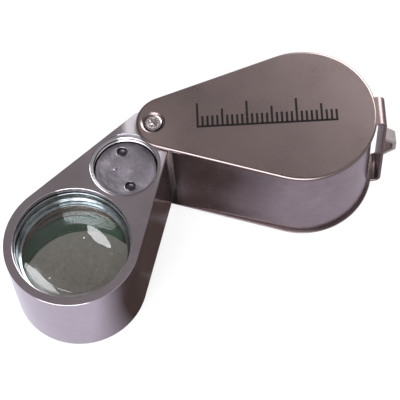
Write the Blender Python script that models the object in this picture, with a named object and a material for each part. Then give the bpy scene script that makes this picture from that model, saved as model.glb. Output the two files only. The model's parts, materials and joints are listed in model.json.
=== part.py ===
"""Folding LED hand lens: a swing-out lens block pivoted in a folded sheet case.

Frame: +Z up, +X from the pivot to the strap, origin on the underside of the
bottom plate at the centre of the case's round end. The block is modelled
swung open and is carried by an empty on the pivot axis.
"""

import math

import bmesh
import bpy
from mathutils import Vector

MM = 0.001

# Case: two teardrop plates joined by a strap, folded from one sheet
CASE_HEIGHT = 25.0 * MM
SHEET_T = 0.7 * MM
CASE_REACH = 30.3 * MM
PLATE_LIP = 0.7 * MM
PLATE_END = 3.45 * MM
EDGE_ROUND = 0.35 * MM
EDGE_BREAK = 0.12 * MM
STRAP_WIDTH = 6.4 * MM
STRAP_STANDOFF = 1.8 * MM
STRAP_BEND_R = 1.0 * MM
STRAP_SINK = 0.03 * MM
STRAP_LEG = 3.0 * MM
WALL_T = 0.4 * MM
WALL_START = 3.6 * MM
WALL_END_ANGLE = math.radians(8.0)

# Lanyard loop on the strap
LOOP_HEIGHT = 12.0 * MM
LOOP_FOOT = 3.7 * MM
LOOP_TIP = 1.4 * MM
LOOP_REACH = 2.5 * MM
LOOP_T = 0.8 * MM
LOOP_WIDTH = 2.8 * MM

# Lens block
OPEN_ANGLE = math.radians(236.7)
BLOCK_ROUND_R = 13.45 * MM
BLOCK_NECK = 4.45 * MM
BLOCK_END = 3.1 * MM
BLOCK_LIFT = 3.9 * MM
BLOCK_EDGE = 0.15 * MM
BLOCK_WALL = 1.15 * MM
BLOCK_LIP = 0.65 * MM
BLOCK_LIP_DEPTH = 1.2 * MM

# Lens barrel
BARREL_WALL = 0.9 * MM
COLLAR_STEP = 0.35 * MM
LEDGE = 0.55 * MM
LEDGE_T = 0.5 * MM
BAND_OUT = 0.15 * MM
BAND_HEIGHT = 1.25 * MM
BAND_SLOPE = 0.55 * MM
RELIEF = 0.25 * MM

# Optics
GLASS_DEPTH = 6.1 * MM
EYE_SEAT = 0.48 * MM
EYE_RIM_T = 2.3 * MM
EYE_DOME = 3.5 * MM
FIELD_SEAT = 0.75 * MM
FIELD_RIM_T = 2.0 * MM
FIELD_DOME = 2.0 * MM
SPACER_WALL = 0.9 * MM
RETAINER_T = 1.4 * MM
RETAINER_WALL = 1.2 * MM
BOARD_T = 0.8 * MM
BOARD_WIDTH = 2.9 * MM
CLIP_T = 0.8 * MM
CLIP_WALL = 0.55 * MM
LED_R = 0.95 * MM
LED_H = 1.9 * MM
LED_DOME = 0.76 * MM
LED_INSET = 0.15 * MM
MOUTH_SETBACK = 3.0 * MM

# Battery compartment
BATTERY_WEB = 0.6 * MM
LENS_WEB = 0.291 * MM
PIVOT_WEB = 1.0 * MM
THREAD_DEPTH = 0.35 * MM
THREAD_PITCH = 0.75 * MM
THREAD_TURNS = 4
THREAD_RUNOUT = 0.1 * MM
ENTRY_STEP = 0.2 * MM
ENTRY_DEPTH = 0.35 * MM
CAP_RECESS = 1.8 * MM
CAP_T = 2.4 * MM
CAP_BREAK = 0.2 * MM
SPANNER_R = 1.05 * MM
SPANNER_DEPTH = 1.2 * MM
SPANNER_POINT = 0.3 * MM
SPANNER_RIM = 2.16 * MM
SPANNER_ANGLE = math.radians(44.5)
SLEEVE_T = 0.25 * MM
CELL_COUNT = 3
CELL_SHOULDER = 0.9 * MM
CELL_SHOULDER_H = 0.5 * MM
SPRING_WIRE = 0.25 * MM
SPRING_TURNS = 3
SPRING_H = 1.75 * MM
SPRING_MARGIN = 1.6 * MM
SPRING_TIP_R = 1.75 * MM
DISC_T = 0.7 * MM
FLOOR_T = 0.8 * MM

# Switch in the underside of the block
SWITCH_LENGTH = 8.0 * MM
SWITCH_WIDTH = 4.0 * MM
SWITCH_POCKET = 2.0 * MM
SLIDER_LENGTH = 2.0 * MM
SLIDER_WIDTH = 1.1 * MM
SLIDER_STANDS_OUT = 0.9 * MM
SLIDER_TRAVEL = 2.0 * MM
SLIDER_SOFT = 0.15 * MM
SLOT_DEPTH = 0.8 * MM
RIVET_R = 0.7 * MM
STRIP_T = 0.3 * MM
STRIP_WIDTH = 1.6 * MM

# Pivot
POST_R = 1.5 * MM
POST_BORE = 0.9 * MM
BUSH_T = 0.35 * MM
SCREW_SHANK = 0.6 * MM
SCREW_LENGTH = 5.0 * MM
SCREW_HEAD_R = 1.75 * MM
SCREW_HEAD_T = 0.6 * MM
SCREW_SINK = 0.1 * MM
SCREW_TAPER = 0.55 * MM
SCREW_BREAK = 0.12 * MM
SINK_TOP_R = 2.4 * MM
SINK_LOW_R = 1.6 * MM
DRIVE_WIDTH = 0.45 * MM
DRIVE_LENGTH = 2.3 * MM
DRIVE_DEPTH = 0.4 * MM
DRIVE_ANGLE = math.radians(35.0)
WASHER_BORDER = 0.9 * MM
WASHER_T = 0.25 * MM
WASHER_WAVE = 0.08 * MM

# Clearances
FIT = 0.3 * MM
RUN = 0.25 * MM
SLIDE = 0.2 * MM
NEST_SLACK = 0.1 * MM

# How far a cutter runs past the face that it opens
OVER = 0.5 * MM

# Sizes that follow
PLATE_UNDER = CASE_HEIGHT - SHEET_T
BLOCK_TOP = PLATE_UNDER - RUN
BLOCK_REACH = CASE_REACH - NEST_SLACK
WALL_IN_R = BLOCK_ROUND_R + FIT
WALL_OUT_R = WALL_IN_R + WALL_T
PLATE_R = WALL_OUT_R + PLATE_LIP
PLATE_NECK = BLOCK_NECK + FIT + WALL_T
STRAP_X = PLATE_R + STRAP_STANDOFF
LENS_BORE_R = BLOCK_ROUND_R - BLOCK_WALL
BLOCK_MOUTH_R = LENS_BORE_R - BLOCK_LIP
BARREL_R = LENS_BORE_R - FIT
BARREL_TOP = BLOCK_TOP - BLOCK_LIP_DEPTH - FIT
BARREL_LOW = SHEET_T + FIT
BARREL_BORE = BARREL_R - BARREL_WALL
GLASS_R = BARREL_BORE - FIT
LEDGE_LOW = BLOCK_TOP - GLASS_DEPTH + LEDGE_T
EYE_RIM_TOP = LEDGE_LOW - EYE_SEAT
EYE_LOW = EYE_RIM_TOP - EYE_RIM_T
CLIP_LOW = BARREL_LOW + MOUTH_SETBACK
BOARD_LOW = CLIP_LOW + CLIP_T + FIT
RETAINER_LOW = BOARD_LOW + BOARD_T + FIT
FIELD_RIM_LOW = RETAINER_LOW + RETAINER_T + FIELD_SEAT
FIELD_TOP = FIELD_RIM_LOW + FIELD_RIM_T
BLOCK_SLOPE = (BLOCK_ROUND_R - BLOCK_NECK) / BLOCK_REACH
BUSH_IN_R = POST_R + RUN
BUSH_OUT_R = BUSH_IN_R + BUSH_T
PIVOT_BORE_R = BUSH_OUT_R + RUN
LENS_SIDE_X = BLOCK_REACH - LENS_BORE_R - LENS_WEB
PIVOT_SIDE_X = PIVOT_BORE_R + PIVOT_WEB
SIDE_LIMIT_R = (BLOCK_NECK - BATTERY_WEB + BLOCK_SLOPE * LENS_SIDE_X) / (1.0 + BLOCK_SLOPE)
ENTRY_R = min(SIDE_LIMIT_R, (LENS_SIDE_X - PIVOT_SIDE_X) / 2.0)
BATTERY_REACH = LENS_SIDE_X - ENTRY_R
THREAD_OUT_R = ENTRY_R - ENTRY_STEP
CAVITY_R = THREAD_OUT_R - THREAD_DEPTH
CAP_R = CAVITY_R - FIT
SPANNER_SPREAD = CAP_R - SPANNER_RIM
CAP_TOP = BLOCK_TOP - CAP_RECESS
CAP_LOW = CAP_TOP - CAP_T
SLEEVE_R = CAVITY_R - SLIDE
CELL_R = SLEEVE_R - SLEEVE_T - SLIDE
POCKET_TOP = BLOCK_LIFT + SWITCH_POCKET
FLOOR_Z = POCKET_TOP + FLOOR_T
DISC_TOP = FLOOR_Z + FIT + DISC_T
SPRING_TOP = DISC_TOP + RUN + SPRING_H
CELL_SPACE = CAP_LOW - RUN - SPRING_TOP - RUN
CELL_T = (CELL_SPACE - (CELL_COUNT - 1) * RUN) / CELL_COUNT
WASHER_R = BUSH_OUT_R + WASHER_BORDER
WASHER_Z = BLOCK_LIFT - RUN - WASHER_WAVE - WASHER_T / 2.0
SPACER_TOP = WASHER_Z - WASHER_T / 2.0 - WASHER_WAVE - RUN
PIVOT_X = -CASE_REACH


def clear_scene():
    for old in list(bpy.data.objects):
        bpy.data.objects.remove(old, do_unlink=True)


def material(name, colour, roughness, metallic, transmission=0.0):
    made = bpy.data.materials.new(name)
    made.use_nodes = True
    shader = made.node_tree.nodes["Principled BSDF"]
    shader.inputs["Base Color"].default_value = (*colour, 1.0)
    shader.inputs["Roughness"].default_value = roughness
    shader.inputs["Metallic"].default_value = metallic
    shader.inputs["Transmission Weight"].default_value = transmission
    return made


def add_object(name, bm, look, parent=None, place=(0.0, 0.0, 0.0), turn=0.0):
    """Turns a bmesh into an object, smooth but with its real edges kept sharp."""
    bmesh.ops.recalc_face_normals(bm, faces=bm.faces)
    mesh = bpy.data.meshes.new(name)
    bm.to_mesh(mesh)
    bm.free()
    mesh.shade_smooth()
    mesh.set_sharp_from_angle(angle=math.radians(35.0))
    made = bpy.data.objects.new(name, mesh)
    bpy.context.scene.collection.objects.link(made)
    if look is not None:
        made.data.materials.append(material(name, *look))
    made.parent = parent
    made.location = place
    made.rotation_euler = (0.0, 0.0, turn)
    return made


def as_guide(obj):
    obj.hide_render = True
    obj.display_type = "WIRE"
    return obj


def boolean(obj, guide, operation):
    step = obj.modifiers.new(f"{operation.lower()} {guide.name}", "BOOLEAN")
    step.object = guide
    step.operation = operation
    step.solver = "EXACT"


def nose(neck, big_r, reach, end):
    """Centre and radius of the small-end arc that meets the straight sides."""
    slope = (big_r - neck) / reach
    centre = (neck - end) / (1.0 - slope)
    return centre, neck + slope * centre


def teardrop(neck, big_r, reach, end, inset, big_steps=36, small_steps=14):
    """Outline about the pivot: straight sides between a small and a big arc."""
    small_x, small_r = nose(neck, big_r, reach, end)
    lean = math.asin((big_r - neck) / reach)
    big = big_r - inset
    small = small_r - inset
    points = []
    sweep = math.pi / 2.0 + lean
    for i in range(big_steps + 1):
        a = -sweep + 2.0 * sweep * i / big_steps
        points.append((reach + big * math.cos(a), big * math.sin(a)))
    for i in range(small_steps + 1):
        a = sweep + (2.0 * math.pi - 2.0 * sweep) * i / small_steps
        points.append((small_x + small * math.cos(a), small * math.sin(a)))
    return points


def layered(outlines):
    """Closed solid from (z, outline) layers that share one point count."""
    bm = bmesh.new()
    rings = []
    for z, outline in outlines:
        rings.append([bm.verts.new((x, y, z)) for x, y in outline])
    count = len(rings[0])
    for low, high in zip(rings, rings[1:]):
        for i in range(count):
            j = (i + 1) % count
            bm.faces.new((low[i], low[j], high[j], high[i]))
    bm.faces.new(list(reversed(rings[0])))
    bm.faces.new(rings[-1])
    return bm


def turned(profile, steps=48):
    """Closed solid of revolution about Z from a closed (radius, z) profile."""
    bm = bmesh.new()
    rings = []
    for radius, z in profile:
        if radius == 0.0:
            rings.append([bm.verts.new((0.0, 0.0, z))])
            continue
        ring = []
        for i in range(steps):
            a = 2.0 * math.pi * i / steps
            ring.append(bm.verts.new((radius * math.cos(a), radius * math.sin(a), z)))
        rings.append(ring)
    for k, ring in enumerate(rings):
        after = rings[(k + 1) % len(rings)]
        if len(ring) == 1 and len(after) == 1:
            continue
        for i in range(steps):
            j = (i + 1) % steps
            if len(ring) == 1:
                bm.faces.new((ring[0], after[j], after[i]))
            elif len(after) == 1:
                bm.faces.new((ring[i], ring[j], after[0]))
            else:
                bm.faces.new((ring[i], ring[j], after[j], after[i]))
    return bm


def extruded(outline, low, high, axis="Z"):
    """Closed prism of an outline, along Z, or along Y from an (x, z) outline."""
    bm = bmesh.new()
    if axis == "Z":
        ends = [[(x, y, h) for x, y in outline] for h in (low, high)]
    else:
        ends = [[(x, h, z) for x, z in outline] for h in (low, high)]
    first = [bm.verts.new(p) for p in ends[0]]
    last = [bm.verts.new(p) for p in ends[1]]
    count = len(first)
    for i in range(count):
        j = (i + 1) % count
        bm.faces.new((first[i], first[j], last[j], last[i]))
    bm.faces.new(list(reversed(first)))
    bm.faces.new(last)
    return bm


def box(size, centre):
    bm = bmesh.new()
    bmesh.ops.create_cube(bm, size=1.0)
    bmesh.ops.scale(bm, vec=Vector(size), verts=bm.verts)
    bmesh.ops.translate(bm, vec=Vector(centre), verts=bm.verts)
    return bm


def ring_profile(inner, outer, low, high):
    """Rectangular section of a ring, or of a disc where inner is zero."""
    return [(inner, low), (outer, low), (outer, high), (inner, high)]


def dome(rim_r, rim_z, rise, steps=6):
    """Arc from the rim to the axis of a spherical surface that rises by rise."""
    ball = (rim_r**2 + rise**2) / (2.0 * rise)
    reach = math.asin(min(1.0, rim_r / abs(ball)))
    centre = rim_z + rise - ball
    points = []
    for i in range(1, steps + 1):
        a = reach * (1.0 - i / steps)
        radius = abs(ball) * math.sin(a)
        side = 1.0 if rise > 0.0 else -1.0
        points.append((radius if i < steps else 0.0, centre + side * abs(ball) * math.cos(a)))
    return points


def plate_layers(low, high, round_low, round_high):
    """Teardrop plate whose edge is rounded over on one side and broken on the other."""
    stack = []
    for k in (2, 1, 0):
        a = math.pi / 4.0 * k
        stack.append((low + round_low * (1.0 - math.sin(a)), round_low * (1.0 - math.cos(a))))
    for k in (0, 1, 2):
        a = math.pi / 4.0 * k
        stack.append((high - round_high * (1.0 - math.sin(a)), round_high * (1.0 - math.cos(a))))
    layers = []
    for z, inset in stack:
        outline = teardrop(PLATE_NECK, PLATE_R, CASE_REACH, PLATE_END, inset)
        layers.append((z, [(x + PIVOT_X, y) for x, y in outline]))
    return layers


def strap_outline():
    """Side view of the strap and its two short legs, with rounded bends."""
    sheet = SHEET_T - 2.0 * STRAP_SINK
    leg_x = PLATE_R - STRAP_LEG
    top = CASE_HEIGHT - STRAP_SINK
    outer = []
    inner = []
    for k in range(7):
        a = math.pi / 2.0 * k / 6.0
        s, c = math.sin(a), math.cos(a)
        centre_x = STRAP_X - STRAP_BEND_R
        outer.append((centre_x + STRAP_BEND_R * s, top - STRAP_BEND_R * (1.0 - c)))
        inner_r = STRAP_BEND_R - sheet
        inner.append((centre_x + inner_r * s, top - STRAP_BEND_R + inner_r * c))
    path = [(leg_x, top)] + outer
    path += [(x, CASE_HEIGHT - z) for x, z in reversed(outer)] + [(leg_x, CASE_HEIGHT - top)]
    path += [(leg_x, CASE_HEIGHT - top + sheet)]
    path += [(x, CASE_HEIGHT - z) for x, z in inner] + list(reversed(inner))
    path += [(leg_x, top - sheet)]
    return path


def make_case():
    steel = ((0.16, 0.135, 0.13), 0.32, 1.0)
    top_layers = plate_layers(PLATE_UNDER, CASE_HEIGHT, EDGE_BREAK, EDGE_ROUND)
    shell = add_object("case_shell", layered(top_layers), steel)
    low_layers = plate_layers(0.0, SHEET_T, EDGE_ROUND, EDGE_BREAK)
    low_plate = as_guide(add_object("guide_bottom_plate", layered(low_layers), None))
    half = STRAP_WIDTH / 2.0
    strap = extruded(strap_outline(), -half, half, axis="Y")
    strap_guide = as_guide(add_object("guide_strap", strap, None))
    boolean(shell, strap_guide, "UNION")
    boolean(shell, low_plate, "UNION")
    slope = (SINK_TOP_R - SINK_LOW_R) / SHEET_T
    cone = [
        (0.0, -OVER),
        (SINK_LOW_R - slope * OVER, -OVER),
        (SINK_TOP_R + slope * OVER, SHEET_T + OVER),
        (0.0, SHEET_T + OVER),
    ]
    for name, z, flip in (("guide_sink_top", PLATE_UNDER, 1.0), ("guide_sink_low", SHEET_T, -1.0)):
        section = [(r, flip * h) for r, h in cone]
        guide = as_guide(add_object(name, turned(section, 36), None, None, (PIVOT_X, 0.0, z)))
        boolean(shell, guide, "DIFFERENCE")
    return shell


def wall_path(radius, neck, steps=26):
    """Near-side line and round-end arc at one radius, from the pivot end to the strap."""
    lean = math.asin((radius - neck) / CASE_REACH)
    start_a = -(math.pi / 2.0 + lean)
    normal = (math.cos(start_a), math.sin(start_a))
    foot_x = WALL_START
    # The side line passes the pivot at the neck distance and runs square to its normal.
    foot_y = (neck - foot_x * normal[0]) / normal[1]
    points = [(foot_x + PIVOT_X, foot_y)]
    for i in range(steps + 1):
        a = start_a + (WALL_END_ANGLE - start_a) * i / steps
        points.append((radius * math.cos(a), radius * math.sin(a)))
    return points


def make_wall():
    outer = wall_path(WALL_OUT_R, PLATE_NECK)
    inner = wall_path(WALL_IN_R, PLATE_NECK - WALL_T)
    outline = outer + list(reversed(inner))
    look = ((0.28, 0.25, 0.27), 0.38, 1.0)
    add_object("side_wall", extruded(outline, SHEET_T + RUN, PLATE_UNDER - RUN), look)


def make_loop():
    """Trapezoid bail of one thickness with its feet against the strap's outer face."""
    x0 = STRAP_X + RUN
    x1 = x0 + LOOP_REACH
    fall = (LOOP_FOOT - LOOP_TIP) / LOOP_REACH
    leg = LOOP_T * math.hypot(1.0, fall)
    foot_in = LOOP_FOOT - leg
    tip_in = foot_in - fall * (LOOP_REACH - LOOP_T)
    outline = [
        (x0, LOOP_HEIGHT - LOOP_FOOT),
        (x1, LOOP_HEIGHT - LOOP_TIP),
        (x1, LOOP_HEIGHT + LOOP_TIP),
        (x0, LOOP_HEIGHT + LOOP_FOOT),
        (x0, LOOP_HEIGHT + foot_in),
        (x1 - LOOP_T, LOOP_HEIGHT + tip_in),
        (x1 - LOOP_T, LOOP_HEIGHT - tip_in),
        (x0, LOOP_HEIGHT - foot_in),
    ]
    half = LOOP_WIDTH / 2.0
    look = ((0.4, 0.37, 0.36), 0.3, 1.0)
    add_object("lanyard_loop", extruded(outline, -half, half, axis="Y"), look)


def make_pivot():
    chrome = ((0.5, 0.48, 0.47), 0.2, 1.0)
    at_pivot = (PIVOT_X, 0.0, 0.0)
    post = ring_profile(POST_BORE, POST_R, SHEET_T + RUN, PLATE_UNDER - RUN)
    add_object("pivot_post", turned(post, 32), chrome, None, at_pivot)
    spacer = ring_profile(BUSH_IN_R, WASHER_R, SHEET_T + RUN, SPACER_TOP)
    add_object("pivot_spacer", turned(spacer, 36), chrome, None, at_pivot)

    head_top = SHEET_T - SCREW_SINK
    head = [
        (0.0, head_top - SCREW_LENGTH),
        (SCREW_SHANK - SCREW_BREAK, head_top - SCREW_LENGTH),
        (SCREW_SHANK, head_top - SCREW_LENGTH + SCREW_BREAK),
        (SCREW_SHANK, head_top - SCREW_HEAD_T),
        (SCREW_HEAD_R - SCREW_TAPER, head_top - SCREW_HEAD_T),
        (SCREW_HEAD_R, head_top - SCREW_BREAK),
        (SCREW_HEAD_R - SCREW_BREAK, head_top),
        (0.0, head_top),
    ]
    top = add_object("top_screw", turned(head, 28), chrome, None, (PIVOT_X, 0.0, PLATE_UNDER))
    turned_down = [(r, -z) for r, z in head]
    low = add_object("bottom_screw", turned(turned_down, 28), chrome, None, (PIVOT_X, 0.0, SHEET_T))
    cut_h = 2.0 * DRIVE_DEPTH
    for name, turn in (("guide_cross_a", 0.0), ("guide_cross_b", math.pi / 2.0)):
        bar = box((DRIVE_LENGTH, DRIVE_WIDTH, cut_h), (0.0, 0.0, head_top))
        place = (PIVOT_X, 0.0, PLATE_UNDER)
        boolean(top, as_guide(add_object(name, bar, None, None, place, DRIVE_ANGLE + turn)), "DIFFERENCE")
    slot = box((2.0 * (SCREW_HEAD_R + OVER), DRIVE_WIDTH, cut_h), (0.0, 0.0, -head_top))
    place = (PIVOT_X, 0.0, SHEET_T)
    boolean(low, as_guide(add_object("guide_slot", slot, None, None, place)), "DIFFERENCE")
    make_washer(at_pivot)


def make_washer(at_pivot):
    """Spring washer: a flat ring bent into three waves."""
    bm = bmesh.new()
    steps = 36
    corners = [
        (BUSH_IN_R, -WASHER_T / 2.0),
        (WASHER_R, -WASHER_T / 2.0),
        (WASHER_R, WASHER_T / 2.0),
        (BUSH_IN_R, WASHER_T / 2.0),
    ]
    rings = []
    for i in range(steps):
        a = 2.0 * math.pi * i / steps
        wave = WASHER_WAVE * math.sin(3.0 * a)
        ring = [
            bm.verts.new((r * math.cos(a), r * math.sin(a), WASHER_Z + wave + z))
            for r, z in corners
        ]
        rings.append(ring)
    for i in range(steps):
        here, there = rings[i], rings[(i + 1) % steps]
        for k in range(4):
            m = (k + 1) % 4
            bm.faces.new((here[k], here[m], there[m], there[k]))
    add_object("friction_washer", bm, ((0.55, 0.42, 0.2), 0.35, 1.0), None, at_pivot)


def bore_profile():
    """Cutter for the lens bore: a lip at the top, the barrel's seat below it."""
    lip_low = BLOCK_TOP - BLOCK_LIP_DEPTH
    return [
        (0.0, BLOCK_LIFT - OVER),
        (LENS_BORE_R, BLOCK_LIFT - OVER),
        (LENS_BORE_R, lip_low),
        (BLOCK_MOUTH_R, lip_low),
        (BLOCK_MOUTH_R, BLOCK_TOP - BLOCK_EDGE),
        (BLOCK_MOUTH_R + BLOCK_EDGE, BLOCK_TOP),
        (BLOCK_MOUTH_R + BLOCK_EDGE, BLOCK_TOP + OVER),
        (0.0, BLOCK_TOP + OVER),
    ]


def battery_profile():
    """Cutter for the battery bore: cell cavity, thread grooves and a wider entry."""
    profile = [(0.0, FLOOR_Z), (CAVITY_R, FLOOR_Z)]
    top = BLOCK_TOP - ENTRY_DEPTH - THREAD_RUNOUT
    for i in range(THREAD_TURNS):
        low = top - (THREAD_TURNS - i) * THREAD_PITCH
        profile.append((CAVITY_R, low + THREAD_RUNOUT))
        profile.append((THREAD_OUT_R, low + THREAD_PITCH / 2.0))
    profile.append((CAVITY_R, top))
    profile.append((ENTRY_R, BLOCK_TOP - ENTRY_DEPTH))
    profile.append((ENTRY_R, BLOCK_TOP + OVER))
    profile.append((0.0, BLOCK_TOP + OVER))
    return profile


def make_block(pivot):
    layers = []
    for z, inset in (
        (BLOCK_LIFT, BLOCK_EDGE),
        (BLOCK_LIFT + BLOCK_EDGE, 0.0),
        (BLOCK_TOP - BLOCK_EDGE, 0.0),
        (BLOCK_TOP, BLOCK_EDGE),
    ):
        outline = teardrop(BLOCK_NECK, BLOCK_ROUND_R, BLOCK_REACH, BLOCK_END, inset, 44, 12)
        layers.append((z, outline))
    look = ((0.2, 0.175, 0.19), 0.34, 1.0)
    block = add_object("lens_block", layered(layers), look, pivot)
    lens_at = (BLOCK_REACH, 0.0, 0.0)
    battery_at = (BATTERY_REACH, 0.0, 0.0)
    drill = ring_profile(0.0, PIVOT_BORE_R, BLOCK_LIFT - OVER, BLOCK_TOP + OVER)
    rivet_drill = ring_profile(0.0, RIVET_R + FIT, POCKET_TOP - OVER, FLOOR_Z + OVER)
    pocket = (SWITCH_LENGTH + 2.0 * RUN, SWITCH_WIDTH + 2.0 * RUN, 2.0 * SWITCH_POCKET)
    groove_x0 = BATTERY_REACH + SWITCH_LENGTH / 2.0
    groove_x1 = BLOCK_REACH - LENS_BORE_R + OVER
    groove_deep = STRIP_T + 2.0 * RUN
    groove = (groove_x1 - groove_x0, STRIP_WIDTH + 2.0 * RUN, 2.0 * groove_deep)
    cuts = (
        ("guide_lens_bore", turned(bore_profile(), 60), lens_at),
        ("guide_battery_bore", turned(battery_profile(), 44), battery_at),
        ("guide_pivot_bore", turned(drill, 32), (0.0, 0.0, 0.0)),
        ("guide_switch_pocket", box(pocket, (0.0, 0.0, BLOCK_LIFT)), battery_at),
        ("guide_rivet_hole", turned(rivet_drill, 16), battery_at),
        ("guide_groove", box(groove, (0.0, 0.0, BLOCK_LIFT)), ((groove_x0 + groove_x1) / 2.0, 0.0, 0.0)),
    )
    for name, bm, place in cuts:
        boolean(block, as_guide(add_object(name, bm, None, pivot, place)), "DIFFERENCE")
    bush = ring_profile(BUSH_IN_R, BUSH_OUT_R, BLOCK_LIFT + RUN, BLOCK_TOP - RUN)
    add_object("pivot_bush", turned(bush, 32), ((0.5, 0.36, 0.16), 0.35, 1.0), pivot)


def barrel_profile():
    """Chrome barrel: stepped bright wall above the ledge, glass seat and mouth below."""
    band_top = LEDGE_LOW + LEDGE_T + BAND_HEIGHT
    return [
        (BARREL_R - COLLAR_STEP, BARREL_LOW),
        (BARREL_R - COLLAR_STEP, BLOCK_LIFT - COLLAR_STEP),
        (BARREL_R, BLOCK_LIFT),
        (BARREL_R, BARREL_TOP),
        (BARREL_BORE + RELIEF, BARREL_TOP),
        (BARREL_BORE + RELIEF, band_top + BAND_SLOPE),
        (BARREL_BORE - BAND_OUT, band_top),
        (BARREL_BORE - BAND_OUT, LEDGE_LOW + LEDGE_T),
        (BARREL_BORE - LEDGE, LEDGE_LOW + LEDGE_T / 2.0),
        (BARREL_BORE - LEDGE, LEDGE_LOW),
        (BARREL_BORE, LEDGE_LOW),
        (BARREL_BORE, BARREL_LOW),
    ]


def make_optics(pivot):
    at = (BLOCK_REACH, 0.0, 0.0)
    chrome = ((0.6, 0.6, 0.6), 0.12, 1.0)
    glass = ((0.85, 0.92, 0.88), 0.02, 0.0, 1.0)
    black = ((0.03, 0.03, 0.03), 0.5, 0.0)
    add_object("lens_barrel", turned(barrel_profile(), 60), chrome, pivot, at)
    eye = [(0.0, EYE_LOW), (GLASS_R, EYE_LOW)]
    eye += [(GLASS_R, EYE_RIM_TOP)] + dome(GLASS_R, EYE_RIM_TOP, EYE_DOME)
    add_object("eye_lens", turned(eye, 52), glass, pivot, at)
    spacer = ring_profile(GLASS_R - SPACER_WALL, GLASS_R, FIELD_TOP + FIT, EYE_LOW - FIT)
    add_object("lens_spacer", turned(spacer, 44), black, pivot, at)
    field = [(0.0, FIELD_TOP), (GLASS_R, FIELD_TOP), (GLASS_R, FIELD_RIM_LOW)]
    field += [(r, -z) for r, z in dome(GLASS_R, -FIELD_RIM_LOW, FIELD_DOME, 5)]
    add_object("field_lens", turned(field, 48), glass, pivot, at)
    retainer_in = GLASS_R - RETAINER_WALL
    retainer = ring_profile(retainer_in, GLASS_R, RETAINER_LOW, RETAINER_LOW + RETAINER_T)
    add_object("lens_retainer", turned(retainer, 44), black, pivot, at)
    board = ring_profile(GLASS_R - BOARD_WIDTH, GLASS_R, BOARD_LOW, BOARD_LOW + BOARD_T)
    add_object("led_board", turned(board, 44), ((0.02, 0.12, 0.05), 0.45, 0.0), pivot, at)
    clip = ring_profile(GLASS_R - CLIP_WALL, GLASS_R, CLIP_LOW, CLIP_LOW + CLIP_T)
    add_object("board_clip", turned(clip, 44), chrome, pivot, at)
    led_low = BOARD_LOW - FIT - LED_H
    bulb = [(0.0, BOARD_LOW - FIT), (LED_R, BOARD_LOW - FIT), (LED_R, led_low + LED_DOME)]
    bulb += [(r, -z) for r, z in dome(LED_R, -led_low - LED_DOME, LED_DOME, 3)]
    led_ring = GLASS_R - BOARD_WIDTH + LED_R + LED_INSET
    lamp = ((0.9, 0.9, 0.75), 0.15, 0.0, 0.6)
    for name, side in (("led_left", 1.0), ("led_right", -1.0)):
        place = (BLOCK_REACH, side * led_ring, 0.0)
        add_object(name, turned(bulb, 16), lamp, pivot, place)


def make_battery(pivot):
    at = (BATTERY_REACH, 0.0, 0.0)
    nickel = ((0.5, 0.5, 0.52), 0.25, 1.0)
    brass = ((0.6, 0.42, 0.15), 0.3, 1.0)
    cap_section = [
        (0.0, CAP_LOW),
        (CAP_R - CAP_BREAK, CAP_LOW),
        (CAP_R, CAP_LOW + CAP_BREAK),
        (CAP_R, CAP_TOP - CAP_BREAK),
        (CAP_R - CAP_BREAK, CAP_TOP),
        (0.0, CAP_TOP),
    ]
    cap_look = ((0.35, 0.33, 0.34), 0.42, 1.0)
    cap = add_object("battery_cap", turned(cap_section, 44), cap_look, pivot, at)
    blind = [
        (0.0, CAP_TOP - SPANNER_DEPTH - SPANNER_POINT),
        (SPANNER_R, CAP_TOP - SPANNER_DEPTH),
        (SPANNER_R, CAP_TOP + OVER),
        (0.0, CAP_TOP + OVER),
    ]
    for name, side in (("guide_spanner_a", 1.0), ("guide_spanner_b", -1.0)):
        x = BATTERY_REACH + side * SPANNER_SPREAD * math.cos(SPANNER_ANGLE)
        y = side * SPANNER_SPREAD * math.sin(SPANNER_ANGLE)
        guide = as_guide(add_object(name, turned(blind, 20), None, pivot, (x, y, 0.0)))
        boolean(cap, guide, "DIFFERENCE")
    for i in range(CELL_COUNT):
        low = SPRING_TOP + RUN + i * (CELL_T + RUN)
        can = [
            (0.0, low),
            (CELL_R - CELL_SHOULDER, low),
            (CELL_R, low + CELL_SHOULDER_H),
            (CELL_R, low + CELL_T),
            (0.0, low + CELL_T),
        ]
        add_object(f"battery_cell_{i + 1}", turned(can, 36), nickel, pivot, at)
    tube_low = DISC_TOP + RUN
    tube = ring_profile(SLEEVE_R - SLEEVE_T, SLEEVE_R, tube_low, CAP_LOW - RUN)
    add_object("battery_sleeve", turned(tube, 40), ((0.7, 0.7, 0.66), 0.6, 0.0), pivot, at)
    disc = ring_profile(0.0, SLEEVE_R, DISC_TOP - DISC_T, DISC_TOP)
    add_object("contact_disc", turned(disc, 32), ((0.05, 0.2, 0.08), 0.5, 0.0), pivot, at)
    rivet = ring_profile(0.0, RIVET_R, POCKET_TOP, FLOOR_Z)
    add_object("contact_rivet", turned(rivet, 12), brass, pivot, at)
    make_spring(pivot, at, nickel)


def make_spring(pivot, at, look):
    """Conical contact spring that narrows from the disc up to the cell."""
    steps = 16 * SPRING_TURNS
    sides = 5
    wire = SPRING_WIRE
    base_z = DISC_TOP + RUN + wire
    rise = SPRING_H - 2.0 * wire
    wide = CELL_R - SPRING_MARGIN
    bm = bmesh.new()
    rings = []
    for i in range(steps + 1):
        t = i / steps
        a = 2.0 * math.pi * SPRING_TURNS * t
        radius = wide + (SPRING_TIP_R - wide) * t
        ring = []
        for k in range(sides):
            b = 2.0 * math.pi * k / sides
            r = radius + wire * math.cos(b)
            z = base_z + rise * t + wire * math.sin(b)
            ring.append(bm.verts.new((r * math.cos(a), r * math.sin(a), z)))
        rings.append(ring)
    for here, there in zip(rings, rings[1:]):
        for k in range(sides):
            m = (k + 1) % sides
            bm.faces.new((here[k], here[m], there[m], there[k]))
    bm.faces.new(list(reversed(rings[0])))
    bm.faces.new(rings[-1])
    add_object("contact_spring", bm, look, pivot, at)


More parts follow.
